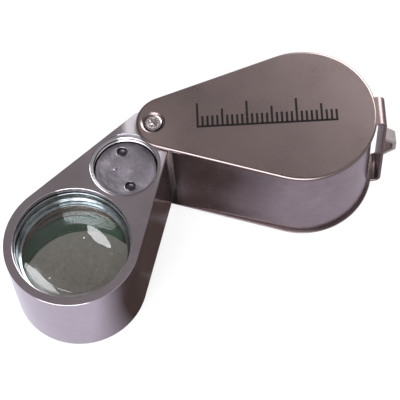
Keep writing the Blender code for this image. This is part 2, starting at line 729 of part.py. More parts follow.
def make_switch(pivot):
    at = (BATTERY_REACH, 0.0, 0.0)
    dark = ((0.02, 0.02, 0.02), 0.5, 0.0)
    low = BLOCK_LIFT + SLIDE
    high = POCKET_TOP - RUN
    size = (SWITCH_LENGTH, SWITCH_WIDTH, high - low)
    frame = add_object("switch_body", box(size, (0.0, 0.0, (low + high) / 2.0)), dark, pivot, at)
    slot_length = SLIDER_LENGTH + SLIDER_TRAVEL + 2.0 * RUN
    slot = (slot_length, SLIDER_WIDTH + 2.0 * RUN, 2.0 * SLOT_DEPTH)
    guide = as_guide(add_object("guide_slider_slot", box(slot, (0.0, 0.0, low)), None, pivot, at))
    boolean(frame, guide, "DIFFERENCE")
    knob_top = low + SLOT_DEPTH - RUN
    knob_low = BLOCK_LIFT - SLIDER_STANDS_OUT
    knob = box(
        (SLIDER_LENGTH, SLIDER_WIDTH, knob_top - knob_low),
        (0.0, 0.0, (knob_top + knob_low) / 2.0),
    )
    place = (BATTERY_REACH - SLIDER_TRAVEL / 2.0, 0.0, 0.0)
    slider = add_object("switch_slider", knob, ((0.7, 0.7, 0.7), 0.4, 0.0), pivot, place)
    edge = slider.modifiers.new("soft edges", "BEVEL")
    edge.width = SLIDER_SOFT
    edge.segments = 2
    x0 = BATTERY_REACH + SWITCH_LENGTH / 2.0 + 2.0 * RUN
    x1 = BLOCK_REACH - LENS_BORE_R + FIT / 2.0
    z0 = BLOCK_LIFT + RUN
    size = (x1 - x0, STRIP_WIDTH, STRIP_T)
    strip = box(size, ((x0 + x1) / 2.0, 0.0, z0 + STRIP_T / 2.0))
    add_object("contact_strip", strip, ((0.6, 0.42, 0.15), 0.3, 1.0), pivot)


def make_loupe():
    clear_scene()
    make_case()
    make_wall()
    make_loop()
    make_pivot()
    pivot = bpy.data.objects.new("block_pivot", None)
    bpy.context.scene.collection.objects.link(pivot)
    pivot.location = (PIVOT_X, 0.0, 0.0)
    pivot.rotation_euler = (0.0, 0.0, OPEN_ANGLE)
    make_block(pivot)
    make_optics(pivot)
    make_battery(pivot)
    make_switch(pivot)


make_loupe()
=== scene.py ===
"""Looks of the folding lit hand lens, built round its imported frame.

Fine meshes stand for the faceted CAD parts, in the same places and sizes. Lengths are in
millimetres until a mesh is made. The block's pieces are drawn along +X from the pivot and
then turned to where the frame holds the block open.
"""

import json
import math

import bmesh
import bpy
from mathutils import Matrix, Vector, noise


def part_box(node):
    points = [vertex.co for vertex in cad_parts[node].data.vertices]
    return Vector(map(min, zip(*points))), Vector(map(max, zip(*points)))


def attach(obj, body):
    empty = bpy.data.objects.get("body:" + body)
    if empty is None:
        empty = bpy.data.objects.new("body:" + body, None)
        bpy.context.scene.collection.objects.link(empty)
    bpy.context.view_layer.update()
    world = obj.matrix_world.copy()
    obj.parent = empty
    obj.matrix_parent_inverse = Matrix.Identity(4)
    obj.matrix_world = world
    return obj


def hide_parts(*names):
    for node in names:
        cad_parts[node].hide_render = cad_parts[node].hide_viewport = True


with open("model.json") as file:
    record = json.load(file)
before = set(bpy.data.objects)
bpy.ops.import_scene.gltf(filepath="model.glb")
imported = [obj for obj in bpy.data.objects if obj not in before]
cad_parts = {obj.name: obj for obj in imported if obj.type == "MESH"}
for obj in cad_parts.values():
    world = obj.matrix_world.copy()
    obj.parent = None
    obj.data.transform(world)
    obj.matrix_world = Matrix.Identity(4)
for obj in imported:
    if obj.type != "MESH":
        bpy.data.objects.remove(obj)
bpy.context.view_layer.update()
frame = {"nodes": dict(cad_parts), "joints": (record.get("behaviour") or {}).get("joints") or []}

MM = 0.001


# ---- sizes from the frame

def box(node):
    """Lowest and highest corner of a CAD node, in millimetres."""
    low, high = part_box(node)
    return low / MM, high / MM


def middle(node):
    low, high = box(node)
    return (low + high) / 2.0


def half_width(node):
    """Radius of a turned node, from its box."""
    low, high = box(node)
    return (high.x - low.x) / 2.0


def turned_from(node):
    """Outer radius, lowest and highest level of a turned node."""
    low, high = box(node)
    return half_width(node), low.z, high.z


joints = {joint["name"]: joint for joint in frame["joints"]}
pivot = Vector(joints["block_swing"]["pos_m"]) / MM
pivot.z = 0.0
lens_middle = middle("lens_barrel")
cap_middle = middle("battery_cap")
block_angle = math.atan2(lens_middle.y - pivot.y, lens_middle.x - pivot.x)
BLOCK_REACH = math.hypot(lens_middle.x - pivot.x, lens_middle.y - pivot.y)
BATTERY_REACH = math.hypot(cap_middle.x - pivot.x, cap_middle.y - pivot.y)
TO_BLOCK = Matrix.Translation(pivot) @ Matrix.Rotation(block_angle, 4, "Z")
TO_LENS = TO_BLOCK @ Matrix.Translation((BLOCK_REACH, 0.0, 0.0))
TO_BATTERY = TO_BLOCK @ Matrix.Translation((BATTERY_REACH, 0.0, 0.0))
TO_PIVOT = Matrix.Translation(pivot)

# Case
CASE_HEIGHT = box("case_shell")[1].z
CASE_REACH = -pivot.x
PLATE_R = box("case_shell")[1].y
PLATE_END = pivot.x - box("case_shell")[0].x
STRAP_X = box("case_shell")[1].x
WALL_OUT_R = -box("side_wall")[0].y
WALL_T = 0.4
WALL_LOW = box("side_wall")[0].z
WALL_HIGH = box("side_wall")[1].z
SHEET_T = WALL_LOW - 0.25
PLATE_NECK = 5.15
EDGE_ROUND = 0.5
EDGE_BREAK = 0.12
STRAP_WIDTH = 6.4
STRAP_BEND_R = 1.5
STRAP_LEG = 3.0
STRAP_EDGE = 0.14
WALL_START = 3.6
WALL_END_ANGLE = math.radians(8.0)
SINK_TOP_R = 2.4
SINK_LOW_R = 1.6
RULE_TICKS = (5.4, 3.9, 2.4)

# Block
BLOCK_LOW = box("lens_block")[0].z
BLOCK_TOP = box("lens_block")[1].z
BLOCK_ROUND_R = 13.45
BLOCK_NECK = 4.45
BLOCK_END = 3.1
BLOCK_EDGE = 0.15
BLOCK_MOUTH_R = 11.65
LENS_BORE_R = 12.3
BLOCK_LIP_DEPTH = 1.2
PIVOT_BORE_R = 2.35
ENTRY_R = 7.01
THREAD_OUT_R = 6.81
CAVITY_R = 6.46
THREAD_PITCH = 0.75
THREAD_TURNS = 4
# Light and dark bands painted in the battery well, per thread pitch.
PAINTED_BANDS_PER_THREAD = 1.5
FLOOR_Z = 6.7
CUT_OVER = 0.5

# Lenses
LENS_SEAT_DEPTH = 6.1
LEDGE_T = 0.5
EYE_RISE = 3.5
FIELD_FALL = 2.0

SMOOTH = math.radians(38.0)
DARKER_TONE = (0.02, 0.016, 0.014)

# Studio: lengths in millimetres from the world's origin, angles in degrees
CAMERA_AZIMUTH = 2.524
CAMERA_ELEVATION = 63.387
CAMERA_ROLL = -5.253
CAMERA_DISTANCE = 319.96
CAMERA_TARGET = (-21.76, -11.81, 12.5)
CAMERA_LENS = 140.5
CAMERA_SENSOR = 36.0
WINDOW_CORNERS = (
    (8.0, 26.0), (13.0, 43.0), (32.0, 51.0), (53.0, 45.0), (58.0, 24.0), (45.0, 8.0), (14.0, 8.0),
)
WINDOW_DISTANCE = 0.6
WINDOW_STRENGTH = 11.0
FRONT_CORNERS = ((165.0, 8.0), (-130.0, 8.0), (-130.0, 52.0), (165.0, 52.0))
FRONT_DISTANCE = 0.7
FRONT_STRENGTH = 9.0
GLINT_CORNERS = ((-7.6, 60.0), (-4.0, 60.0), (-4.0, 62.0), (-7.6, 62.0))
GLINT_DISTANCE = 0.07
GLINT_STRENGTH = 30.0
GLINT_FROM_PIVOT = (-1.6, -6.2)
FLOOR_HALF = 3.0
FLOOR_DROP = 0.00005
FLOOR_GLOW = 0.75
# Colours the floor glows in for glossy rays only: a painted shadow near the object, brighter to the left
# than the right, and a painted dark patch with a lighter rim under the lens.
FLOOR_PAINTED_SHADOW = (0.085, 0.058, 0.052)
REFLECTED_GLOW_LEFT = (0.92, 0.88, 1.0)
REFLECTED_GLOW_RIGHT = (0.50, 0.45, 0.50)
UNDER_LENS_SHADE_MIDDLE = (0.085, 0.07, 0.062)
UNDER_LENS_SHADE_RIM = (0.21, 0.215, 0.20)


# ---- mesh helpers

def polar(radius, angle):
    """Point (x, y) at a radius and an angle in radians."""
    return radius * math.cos(angle), radius * math.sin(angle)


def fillet(corners, steps=4):
    """Closed outline whose corners (x, y, radius) become arcs of that radius."""
    points = []
    count = len(corners)
    for i, (x, y, radius) in enumerate(corners):
        here = Vector((x, y))
        to_last = Vector(corners[i - 1][:2]) - here
        to_next = Vector(corners[(i + 1) % count][:2]) - here
        room = 0.48 * min(to_last.length, to_next.length)
        half = to_last.angle(to_next) / 2.0
        if radius <= 0.0 or half > math.radians(88.0):
            points.append((x, y))
            continue
        reach = min(radius / math.tan(half), room)
        radius = reach * math.tan(half)
        start = here + to_last.normalized() * reach
        end = here + to_next.normalized() * reach
        centre = here + (to_last.normalized() + to_next.normalized()).normalized() * (
            radius / math.sin(half)
        )
        for k in range(steps + 1):
            arm = (start - centre).lerp(end - centre, k / steps)
            spot = centre + arm.normalized() * radius
            points.append((spot.x, spot.y))
    return points


def nose(neck, big_r, reach, end):
    """Centre and radius of the small-end arc that meets the straight sides."""
    slope = (big_r - neck) / reach
    centre = (neck - end) / (1.0 - slope)
    return centre, neck + slope * centre


def teardrop(neck, big_r, reach, end, inset, big_steps=96, small_steps=36):
    """Outline about the pivot: straight sides between a small and a big arc."""
    small_x, small_r = nose(neck, big_r, reach, end)
    lean = math.asin((big_r - neck) / reach)
    big = big_r - inset
    small = small_r - inset
    sweep = math.pi / 2.0 + lean
    points = []
    for i in range(big_steps + 1):
        a = -sweep + 2.0 * sweep * i / big_steps
        points.append((reach + big * math.cos(a), big * math.sin(a)))
    for i in range(small_steps + 1):
        a = sweep + (2.0 * math.pi - 2.0 * sweep) * i / small_steps
        points.append((small_x + small * math.cos(a), small * math.sin(a)))
    return points


def layered(layers):
    """Closed solid from (z, outline) layers that share one point count."""
    bm = bmesh.new()
    rings = [[bm.verts.new((x, y, z)) for x, y in outline] for z, outline in layers]
    count = len(rings[0])
    for low, high in zip(rings, rings[1:]):
        for i in range(count):
            j = (i + 1) % count
            bm.faces.new((low[i], low[j], high[j], high[i]))
    bm.faces.new(list(reversed(rings[0])))
    bm.faces.new(rings[-1])
    return bm


def edge_stack(low, high, round_low, round_high, steps=5, border=0.05):
    """(z, inset) levels of a slab with rounded edges and a narrow flat border."""
    stack = [(low, round_low + border)]
    for k in range(steps + 1):
        a = math.pi / 2.0 * k / steps
        stack.append((low + round_low * (1.0 - math.cos(a)), round_low * (1.0 - math.sin(a))))
    for k in range(steps + 1):
        a = math.pi / 2.0 * k / steps
        stack.append((high - round_high * (1.0 - math.sin(a)), round_high * (1.0 - math.cos(a))))
    stack.append((high, round_high + border))
    return stack


def turned(profile, steps=128):
    """Closed solid of revolution about Z from a closed (radius, z) profile."""
    bm = bmesh.new()
    rings = []
    for radius, z in profile:
        if radius <= 1e-6:
            rings.append([bm.verts.new((0.0, 0.0, z))])
            continue
        ring = []
        for i in range(steps):
            a = 2.0 * math.pi * i / steps
            ring.append(bm.verts.new((*polar(radius, a), z)))
        rings.append(ring)
    for k, ring in enumerate(rings):
        after = rings[(k + 1) % len(rings)]
        if len(ring) == 1 and len(after) == 1:
            continue
        for i in range(steps):
            j = (i + 1) % steps
            if len(ring) == 1:
                bm.faces.new((ring[0], after[j], after[i]))
            elif len(after) == 1:
                bm.faces.new((ring[i], ring[j], after[0]))
            else:
                bm.faces.new((ring[i], ring[j], after[j], after[i]))
    return bm


def extruded(outline, low, high, axis="Z"):
    """Closed prism of an outline, along Z, or along Y from an (x, z) outline."""
    bm = bmesh.new()
    ends = []
    for h in (low, high):
        if axis == "Z":
            ends.append([bm.verts.new((x, y, h)) for x, y in outline])
        else:
            ends.append([bm.verts.new((x, h, y)) for x, y in outline])
    first, last = ends
    count = len(first)
    for i in range(count):
        j = (i + 1) % count
        bm.faces.new((first[i], first[j], last[j], last[i]))
    bm.faces.new(list(reversed(first)))
    bm.faces.new(last)
    return bm


def block_box(size, centre):
    """Rectangular block."""
    bm = bmesh.new()
    bmesh.ops.create_cube(bm, size=1.0)
    bmesh.ops.scale(bm, vec=Vector(size), verts=bm.verts)
    bmesh.ops.translate(bm, vec=Vector(centre), verts=bm.verts)
    return bm


def ring_section(inner, outer, low, high, soft):
    """Section of a ring with softened corners, or of a disc where inner is zero."""
    inner_soft = soft if inner > 0.0 else 0.0
    return fillet([
        (inner, low, inner_soft),
        (outer, low, soft),
        (outer, high, soft),
        (inner, high, inner_soft),
    ])


def dome(rim_r, rim_z, rise, steps=28):
    """Arc from the rim to the axis of a spherical surface that rises by rise."""
    ball = (rim_r**2 + rise**2) / (2.0 * rise)
    reach = math.asin(rim_r / ball)
    centre = rim_z + rise - ball
    points = []
    for i in range(1, steps + 1):
        a = reach * (1.0 - i / steps)
        points.append((ball * math.sin(a) if i < steps else 0.0, centre + ball * math.cos(a)))
    return points


def linked(name, data):
    """New object for this data, in the scene."""
    made = bpy.data.objects.new(name, data)
    bpy.context.scene.collection.objects.link(made)
    return made


def from_bmesh(name, bm):
    """Object whose mesh is this bmesh, in metres."""
    mesh = bpy.data.meshes.new(name)
    bm.to_mesh(mesh)
    bm.free()
    return linked(name, mesh)


def new_object(name, bm, place=None):
    """Object in the row frame, from a bmesh in millimetres."""
    bmesh.ops.recalc_face_normals(bm, faces=bm.faces)
    made = from_bmesh(name, bm)
    made.data.transform(Matrix.Scale(MM, 4) @ (place or Matrix.Identity(4)))
    return made


def combine(obj, tool, operation):
    """Boolean with a throwaway tool object, applied at once."""
    step = obj.modifiers.new("combine", "BOOLEAN")
    step.object = tool
    step.operation = operation
    step.solver = "EXACT"
    apply_modifiers(obj)
    bpy.data.objects.remove(tool, do_unlink=True)
    return obj


def cut(obj, bm, place):
    """Take a bmesh's shape away from an object."""
    return combine(obj, new_object("cutter", bm, place), "DIFFERENCE")


def apply_modifiers(obj):
    """Replace the mesh by what its modifiers make of it."""
    graph = bpy.context.evaluated_depsgraph_get()
    graph.update()
    mesh = bpy.data.meshes.new_from_object(obj.evaluated_get(graph))
    old = obj.data
    obj.modifiers.clear()
    obj.data = mesh
    bpy.data.meshes.remove(old)


def bevel(obj, width, segments=3, angle=30.0):
    step = obj.modifiers.new("bevel", "BEVEL")
    step.width = width * MM
    step.segments = segments
    step.limit_method = "ANGLE"
    step.angle_limit = math.radians(angle)
    step.harden_normals = False
    apply_modifiers(obj)


def finish_piece(obj, look, body, slot, *nodes, angle=SMOOTH, weighted=True):
    """Smooth shading, a material, the body that carries it and the nodes it stands for."""
    mesh = obj.data
    mesh.materials.clear()
    mesh.materials.append(look.material)
    mesh.shade_smooth()
    mesh.set_sharp_from_angle(angle=angle)
    if weighted:
        step = obj.modifiers.new("even shading", "WEIGHTED_NORMAL")
        step.keep_sharp = True
        step.weight = 70
    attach(obj, body)
    if nodes:
        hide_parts(*nodes)
    return obj


def turned_piece(name, section, steps, place, look, body, slot, node, **shading):
    """A finished piece that is a plain solid of revolution."""
    return finish_piece(new_object(name, turned(section, steps), place), look, body, slot, node, **shading)


# ---- materials

class Look:
    """A Principled material whose nodes work on object coordinates in millimetres."""

    def __init__(self, name, colour, roughness, metallic):
        self.material = bpy.data.materials.new(name)
        self.material.use_nodes = True
        self.tree = self.material.node_tree
        self.shader = self.tree.nodes["Principled BSDF"]
        self.shader.inputs["Base Color"].default_value = (*colour, 1.0)
        self.shader.inputs["Roughness"].default_value = roughness
        self.shader.inputs["Metallic"].default_value = metallic
        coordinates = self.tree.nodes.new("ShaderNodeTexCoord")
        scale = self.tree.nodes.new("ShaderNodeVectorMath")
        scale.operation = "SCALE"
        scale.inputs["Scale"].default_value = 1.0 / MM
        self.tree.links.new(coordinates.outputs["Object"], scale.inputs[0])
        self.place = scale.outputs["Vector"]

    def node(self, kind, **values):
        made = self.tree.nodes.new(kind)
        for key, value in values.items():
            if hasattr(made, key):
                setattr(made, key, value)
            else:
                made.inputs[key.replace("_", " ")].default_value = value
        return made

    def link(self, start, end):
        self.tree.links.new(start, end)

    def noise(self, size, detail=3.0, rough=0.55, stretch=None, turn=0.0):
        """Noise whose features are about size millimetres across, stretched along an axis."""
        at = self.place
        if stretch or turn:
            mapping = self.node("ShaderNodeMapping")
            mapping.inputs["Scale"].default_value = stretch or (1.0, 1.0, 1.0)
            mapping.inputs["Rotation"].default_value = (0.0, 0.0, turn)
            self.link(at, mapping.inputs["Vector"])
            at = mapping.outputs["Vector"]
        made = self.node("ShaderNodeTexNoise", Scale=1.0 / size, Detail=detail, Roughness=rough)
        self.link(at, made.inputs["Vector"])
        return made.outputs["Fac"]

    def range(self, value, low, high, out_low, out_high):
        made = self.node("ShaderNodeMapRange")
        bounds = {"From Min": low, "From Max": high, "To Min": out_low, "To Max": out_high}
        for socket, bound in bounds.items():
            made.inputs[socket].default_value = bound
        self.link(value, made.inputs["Value"])
        return made.outputs["Result"]

    def math(self, operation, first, second):
        made = self.node("ShaderNodeMath", operation=operation)
        for socket, value in zip(made.inputs, (first, second)):
            if isinstance(value, (int, float)):
                socket.default_value = value
            else:
                self.link(value, socket)
        return made.outputs["Value"]

    def times(self, first, second):
        return self.math("MULTIPLY", first, second)

    def plus(self, first, second):
        return self.math("ADD", first, second)

    def mix(self, share, first, second):
        made = self.node("ShaderNodeMix", data_type="RGBA")
        if isinstance(share, (int, float)):
            made.inputs["Factor"].default_value = share
        else:
            self.link(share, made.inputs["Factor"])
        for socket, value in ((made.inputs[6], first), (made.inputs[7], second)):
            if isinstance(value, tuple):
                socket.default_value = (*value, 1.0)
            else:
                self.link(value, socket)
        return made.outputs[2]

    def colour(self, value):
        self.link(value, self.shader.inputs["Base Color"])

    def roughness(self, value):
        self.link(value, self.shader.inputs["Roughness"])

    def along(self, axis):
        """Object coordinate along one axis, in millimetres."""
        split = self.node("ShaderNodeSeparateXYZ")
        self.link(self.place, split.inputs["Vector"])
        return split.outputs[axis]

    def linked_to(self, socket):
        """What the shader's socket is linked to now."""
        return self.shader.inputs[socket].links[0].from_socket

    def darken(self, level, centre, outer, inner):
        """Darker colour below a level, fading out between two distances from a vertical axis."""
        below = self.range(self.along("Z"), level, level - 0.3, 0.0, 0.8)
        near = self.range(distance_xy(self, centre), outer, inner, 0.0, 1.0)
        share = self.times(below, near)
        self.colour(self.mix(share, self.linked_to("Base Color"), DARKER_TONE))

    def bump(self, *heights):
        """Stacked bumps from (height value, depth in millimetres) pairs."""
        last = None
        for height, depth in heights:
            made = self.node("ShaderNodeBump", Strength=1.0, Distance=depth * MM)
            self.link(height, made.inputs["Height"])
            if last:
                self.link(last, made.inputs["Normal"])
            last = made.outputs["Normal"]
        self.link(last, self.shader.inputs["Normal"])


def shade(colour, factor):
    return tuple(c * factor for c in colour)


def plated(name, colour, rough, haze=0.05, vary=0.08, peel=0.0015, grain=0.0004, hairs=0.03,
           hair_turn=0.0):
    """Plated metal: hazy patches, orange-peel waviness, fine grain and sparse hairlines."""
    look = Look(name, colour, rough, 1.0)
    patches = look.noise(9.0, 4.0, 0.6)
    mottle = look.noise(1.6, 3.0, 0.5)
    fine = look.noise(0.18, 2.0, 0.6)
    hair = look.noise(0.22, 2.0, 0.5, (0.06, 1.0, 1.0), hair_turn)
    hair = look.range(hair, 0.66, 0.76, 0.0, 1.0)
    tone = look.range(look.plus(patches, look.times(mottle, 0.6)), 0.4, 1.2, 0.0, 1.0)
    look.colour(look.mix(tone, shade(colour, 1.0 - vary), shade(colour, 1.0 + vary)))
    rough_now = look.range(patches, 0.3, 0.7, rough - haze, rough + haze)
    rough_now = look.plus(rough_now, look.times(hair, hairs))
    look.roughness(look.plus(rough_now, look.range(fine, 0.3, 0.7, -0.02, 0.02)))
    look.bump((mottle, peel), (fine, grain))
    return look


def moulded(name, colour, rough, grain=0.004, vary=0.12):
    """Moulded or coated part: low mottling and a fine moulded grain."""
    look = Look(name, colour, rough, 0.0)
    mottle = look.noise(1.2, 3.0, 0.6)
    fine = look.noise(0.12, 2.0, 0.6)
    look.colour(look.mix(mottle, shade(colour, 1.0 - vary), shade(colour, 1.0 + vary)))
    look.roughness(look.range(fine, 0.3, 0.7, rough - 0.06, rough + 0.06))
    look.bump((fine, grain))
    return look


def glass_look(name, tint, ior):
    """Optical glass: clear body, with faint polish marks and dust in the surface."""
    look = Look(name, tint, 0.0, 0.0)
    look.shader.inputs["Transmission Weight"].default_value = 1.0
    look.shader.inputs["IOR"].default_value = ior
    dust = look.range(look.noise(0.5, 5.0, 0.7), 0.66, 0.8, 0.0, 0.12)
    smear = look.range(look.noise(5.0, 3.0, 0.6, (1.0, 0.5, 1.0), 0.6), 0.45, 0.8, 0.0, 0.05)
    look.roughness(look.plus(dust, smear))
    return look


def make_looks():
    looks = {
        "case": plated("case_plate", (0.2, 0.155, 0.152), 0.29, haze=0.015, vary=0.03,
                       peel=0.0005, hairs=0.0, hair_turn=0.2),
        "wall": plated("wall_plate", (0.42, 0.36, 0.395), 0.24, vary=0.18, peel=0.004),
        "loop": plated("loop_plate", (0.56, 0.52, 0.50), 0.3, peel=0.004, grain=0.002),
        "barrel": plated("barrel_chrome", (0.31, 0.34, 0.355), 0.14, haze=0.07, vary=0.6, peel=0.02),
        "pivot": plated("turned_steel", (0.56, 0.55, 0.54), 0.25),
        "screw": plated("worn_screw", (0.44, 0.39, 0.395), 0.2, haze=0.08, vary=0.45, peel=0.05),
        "bronze": plated("bronze", (0.62, 0.43, 0.2), 0.3),
        "cell": plated("drawn_nickel", (0.6, 0.6, 0.61), 0.25, haze=0.06),
        "spring": plated("spring_wire", (0.62, 0.6, 0.57), 0.2),
        "tube": plated("inner_tube", (0.17, 0.14, 0.12), 0.42, haze=0.08, vary=0.25, grain=0.003),
        "board": moulded("solder_mask", (0.015, 0.10, 0.04), 0.35, 0.003),
        "card": moulded("sleeve_film", (0.66, 0.65, 0.58), 0.5),
        "switch": moulded("switch_black", (0.02, 0.02, 0.022), 0.45),
        "slider": moulded("slider_white", (0.72, 0.71, 0.68), 0.38),
        "ink": moulded("print_ink", (0.008, 0.006, 0.006), 0.6, 0.002),
        "glass": glass_look("lens_glass", (0.975, 0.985, 0.975), 1.5),
        "coated": glass_look("coated_glass", (0.985, 0.985, 0.975), 1.3),
        "block": block_look(),
        "cap": cap_look(),
        "lamp": lamp_look(),
    }
    # Case and wall darker below a level near the pivot.
    looks["case"].darken(CASE_HEIGHT - 0.5, pivot, 10.0, 7.0)
    looks["wall"].darken(CASE_HEIGHT, pivot, 8.6, 7.2)
    looks["ink"].shader.inputs["Specular IOR Level"].default_value = 0.08
    return looks


def distance_xy(look, centre):
    """Distance from a vertical axis, in millimetres."""
    away = look.node("ShaderNodeVectorMath", operation="SUBTRACT")
    look.link(look.place, away.inputs[0])
    away.inputs[1].default_value = (centre[0], centre[1], 0.0)
    flat = look.node("ShaderNodeVectorMath", operation="MULTIPLY")
    look.link(away.outputs["Vector"], flat.inputs[0])
    flat.inputs[1].default_value = (1.0, 1.0, 0.0)
    length = look.node("ShaderNodeVectorMath", operation="LENGTH")
    look.link(flat.outputs["Vector"], length.inputs[0])
    return length.outputs["Value"]


def nearest(look, spots):
    """Distance to the nearest of several vertical axes, in millimetres."""
    best = distance_xy(look, spots[0])
    for spot in spots[1:]:
        best = look.math("MINIMUM", best, distance_xy(look, spot))
    return best


def block_look():
    """Polished dark plate, rubbed matt in arcs where the case turns over the block and painted lighter
    there as a glare; darker near the pivot below the top; painted shade and light bands in the battery
    well.
    """
    look = plated("block_plate", (0.43, 0.385, 0.42), 0.16, haze=0.04, peel=0.0022, hair_turn=0.9)
    away = distance_xy(look, pivot)
    rub_and_glare_zone = look.range(away, 6.6, 5.4, 0.0, 1.0)
    rings = look.node("ShaderNodeTexNoise", noise_dimensions="1D", Scale=1.0, Detail=3.0)
    look.link(look.times(away, 6.0), rings.inputs["W"])
    # Rubbed arcs: rougher from wear, and mixed to a lighter colour as a painted glare.
    wear_and_glare = look.times(rub_and_glare_zone, look.range(rings.outputs["Fac"], 0.35, 0.65, 0.55, 1.0))
    rough = look.linked_to("Roughness")
    look.roughness(look.plus(rough, look.times(wear_and_glare, 0.34)))
    colour = look.mix(wear_and_glare, look.linked_to("Base Color"), (0.6, 0.58, 0.6))
    height = look.along("Z")
    # Darker colour below the top face near the pivot.
    below = look.range(height, BLOCK_TOP - 0.6, BLOCK_TOP - 1.4, 0.0, 1.0)
    darker_near_pivot = look.times(below, look.range(away, 6.5, 4.8, 0.0, 1.0))
    colour = look.mix(darker_near_pivot, colour, (0.10, 0.08, 0.075))
    # Battery well: painted shade, with painted light bands between dark ones, 1.5 to each thread pitch.
    # The mask reaches every height, so the block's underside gets a dark disc round the battery axis as
    # well.
    well = distance_xy(look, TO_BATTERY.translation)
    in_well = look.range(well, ENTRY_R + 0.05, ENTRY_R + 0.15, 1.0, 0.0)
    band_rate = 2.0 * math.pi / THREAD_PITCH * PAINTED_BANDS_PER_THREAD
    wave = look.math("SINE", look.times(height, band_rate), 0.0)
    painted_band_light = look.range(wave, -0.4, 0.6, 0.0, 1.0)
    bore = look.mix(painted_band_light, (0.09, 0.07, 0.075), (0.55, 0.53, 0.57))
    look.colour(look.mix(in_well, colour, bore))
    return look


def cap_look():
    """Die-cast and plated: pits, grains and dull blotches, with painted shade below the face."""
    colour = (0.29, 0.265, 0.305)
    look = Look("cap_cast", colour, 0.34, 1.0)
    blotch = look.noise(2.6, 4.0, 0.6)
    grain = look.noise(0.35, 4.0, 0.65)
    pits = look.node("ShaderNodeTexVoronoi", Scale=1.6)
    look.link(look.place, pits.inputs["Vector"])
    pit = look.range(pits.outputs["Distance"], 0.0, 0.16, 1.0, 0.0)
    tone = look.range(look.plus(blotch, look.times(grain, 0.7)), 0.55, 1.15, 0.0, 1.0)
    face = look.mix(tone, shade(colour, 0.72), shade(colour, 1.22))
    cap_top = box("battery_cap")[1].z
    # Painted shade: darker below the cast face, in the spanner holes and down the threaded side.
    below_face_shade = look.range(look.along("Z"), cap_top - 0.25, cap_top - 0.9, 0.0, 1.0)
    look.colour(look.mix(below_face_shade, face, shade(colour, 0.3)))
    look.roughness(look.range(blotch, 0.3, 0.7, 0.27, 0.44))
    look.bump((grain, 0.012), (pit, -0.01))
    return look


def lamp_look():
    """Clear resin over a warm phosphor, faintly clouded."""
    look = Look("lamp_resin", (0.9, 0.88, 0.66), 0.08, 0.0)
    look.shader.inputs["Transmission Weight"].default_value = 0.55
    look.shader.inputs["IOR"].default_value = 1.5
    cloud = look.noise(0.6, 3.0, 0.6)
    look.colour(look.mix(cloud, (0.92, 0.86, 0.5), (0.93, 0.92, 0.8)))
    look.roughness(look.range(cloud, 0.3, 0.7, 0.04, 0.14))
    return look


# ---- case

def plate(low, high, round_low, round_high):
    """Teardrop plate with rounded edges."""
    layers = []
    for z, inset in edge_stack(low, high, round_low, round_high):
        outline = teardrop(PLATE_NECK, PLATE_R, CASE_REACH, PLATE_END, inset)
        layers.append((z, [(x + pivot.x, y) for x, y in outline]))
    return layered(layers)


def strap_outline():
    """Side view of the strap and its two short legs, with rounded bends."""
    sink = 0.03
    sheet = SHEET_T - 2.0 * sink
    leg_x = PLATE_R - STRAP_LEG
    top = CASE_HEIGHT - sink
    low = sink
    inner = max(STRAP_BEND_R - sheet, 0.1)
    return fillet([
        (leg_x, low, 0.0),
        (STRAP_X, low, STRAP_BEND_R),
        (STRAP_X, top, STRAP_BEND_R),
        (leg_x, top, 0.0),
        (leg_x, top - sheet, 0.0),
        (STRAP_X - sheet, top - sheet, inner),
        (STRAP_X - sheet, low + sheet, inner),
        (leg_x, low + sheet, 0.0),
    ], steps=10)


def sink_cutter(flip, level):
    """Countersink with a softened mouth, opening up where flip is 1 and down where it is -1."""
    over = 0.4
    slope = (SINK_TOP_R - SINK_LOW_R) / SHEET_T
    lip = 0.12
    section = [
        (0.0, -over),
        (SINK_LOW_R - slope * over, -over),
        (SINK_LOW_R, 0.0),
        (SINK_TOP_R - slope * lip, SHEET_T - lip),
        (SINK_TOP_R + 0.3 * lip, SHEET_T - 0.3 * lip),
        (SINK_TOP_R + lip, SHEET_T),
        (SINK_TOP_R + lip, SHEET_T + over),
        (0.0, SHEET_T + over),
    ]
    return turned([(r, level + flip * z) for r, z in section], 96)


def make_case(looks):
    """Two plates and the strap that joins them, with a countersink at each end of the pivot."""
    shell = new_object("case_sheet", plate(CASE_HEIGHT - SHEET_T, CASE_HEIGHT, EDGE_BREAK, EDGE_ROUND))
    half = STRAP_WIDTH / 2.0
    strap = new_object("strap", extruded(strap_outline(), -half, half, axis="Y"))
    bevel(strap, STRAP_EDGE, 3, 60.0)
    combine(shell, strap, "UNION")
    low = new_object("low", plate(0.0, SHEET_T, EDGE_ROUND, EDGE_BREAK))
    combine(shell, low, "UNION")
    cut(shell, sink_cutter(1.0, CASE_HEIGHT - SHEET_T), TO_PIVOT)
    cut(shell, sink_cutter(-1.0, SHEET_T), TO_PIVOT)
    finish_piece(shell, looks["case"], "case", "case_metal", "case_shell")


def wall_outline(radius, neck, inset, steps=110):
    """Side line and round-end arc at one radius, from the pivot end to the strap."""
    lean = math.asin((radius - neck) / CASE_REACH)
    start = -(math.pi / 2.0 + lean)
    normal_x, normal_y = math.cos(start), math.sin(start)
    foot_x = WALL_START + inset
    points = [(foot_x + pivot.x, (neck - foot_x * normal_x) / normal_y)]
    end = WALL_END_ANGLE - inset / radius
    for i in range(steps + 1):
        a = start + (end - start) * i / steps
        points.append(polar(radius, a))
    return points


def make_wall(looks):
    """Thin wall whose long edges and ends are softened."""
    soft = 0.1
    layers = []
    for z, inset in edge_stack(WALL_LOW, WALL_HIGH, soft, soft, 4, 0.02):
        outer = wall_outline(WALL_OUT_R - inset, PLATE_NECK - inset, inset)
        inner = wall_outline(WALL_OUT_R - WALL_T + inset, PLATE_NECK - WALL_T + inset, inset)
        layers.append((z, outer + list(reversed(inner))))
    wall = new_object("curved_wall", layered(layers))
    finish_piece(wall, looks["wall"], "case", "wall_metal", "side_wall")


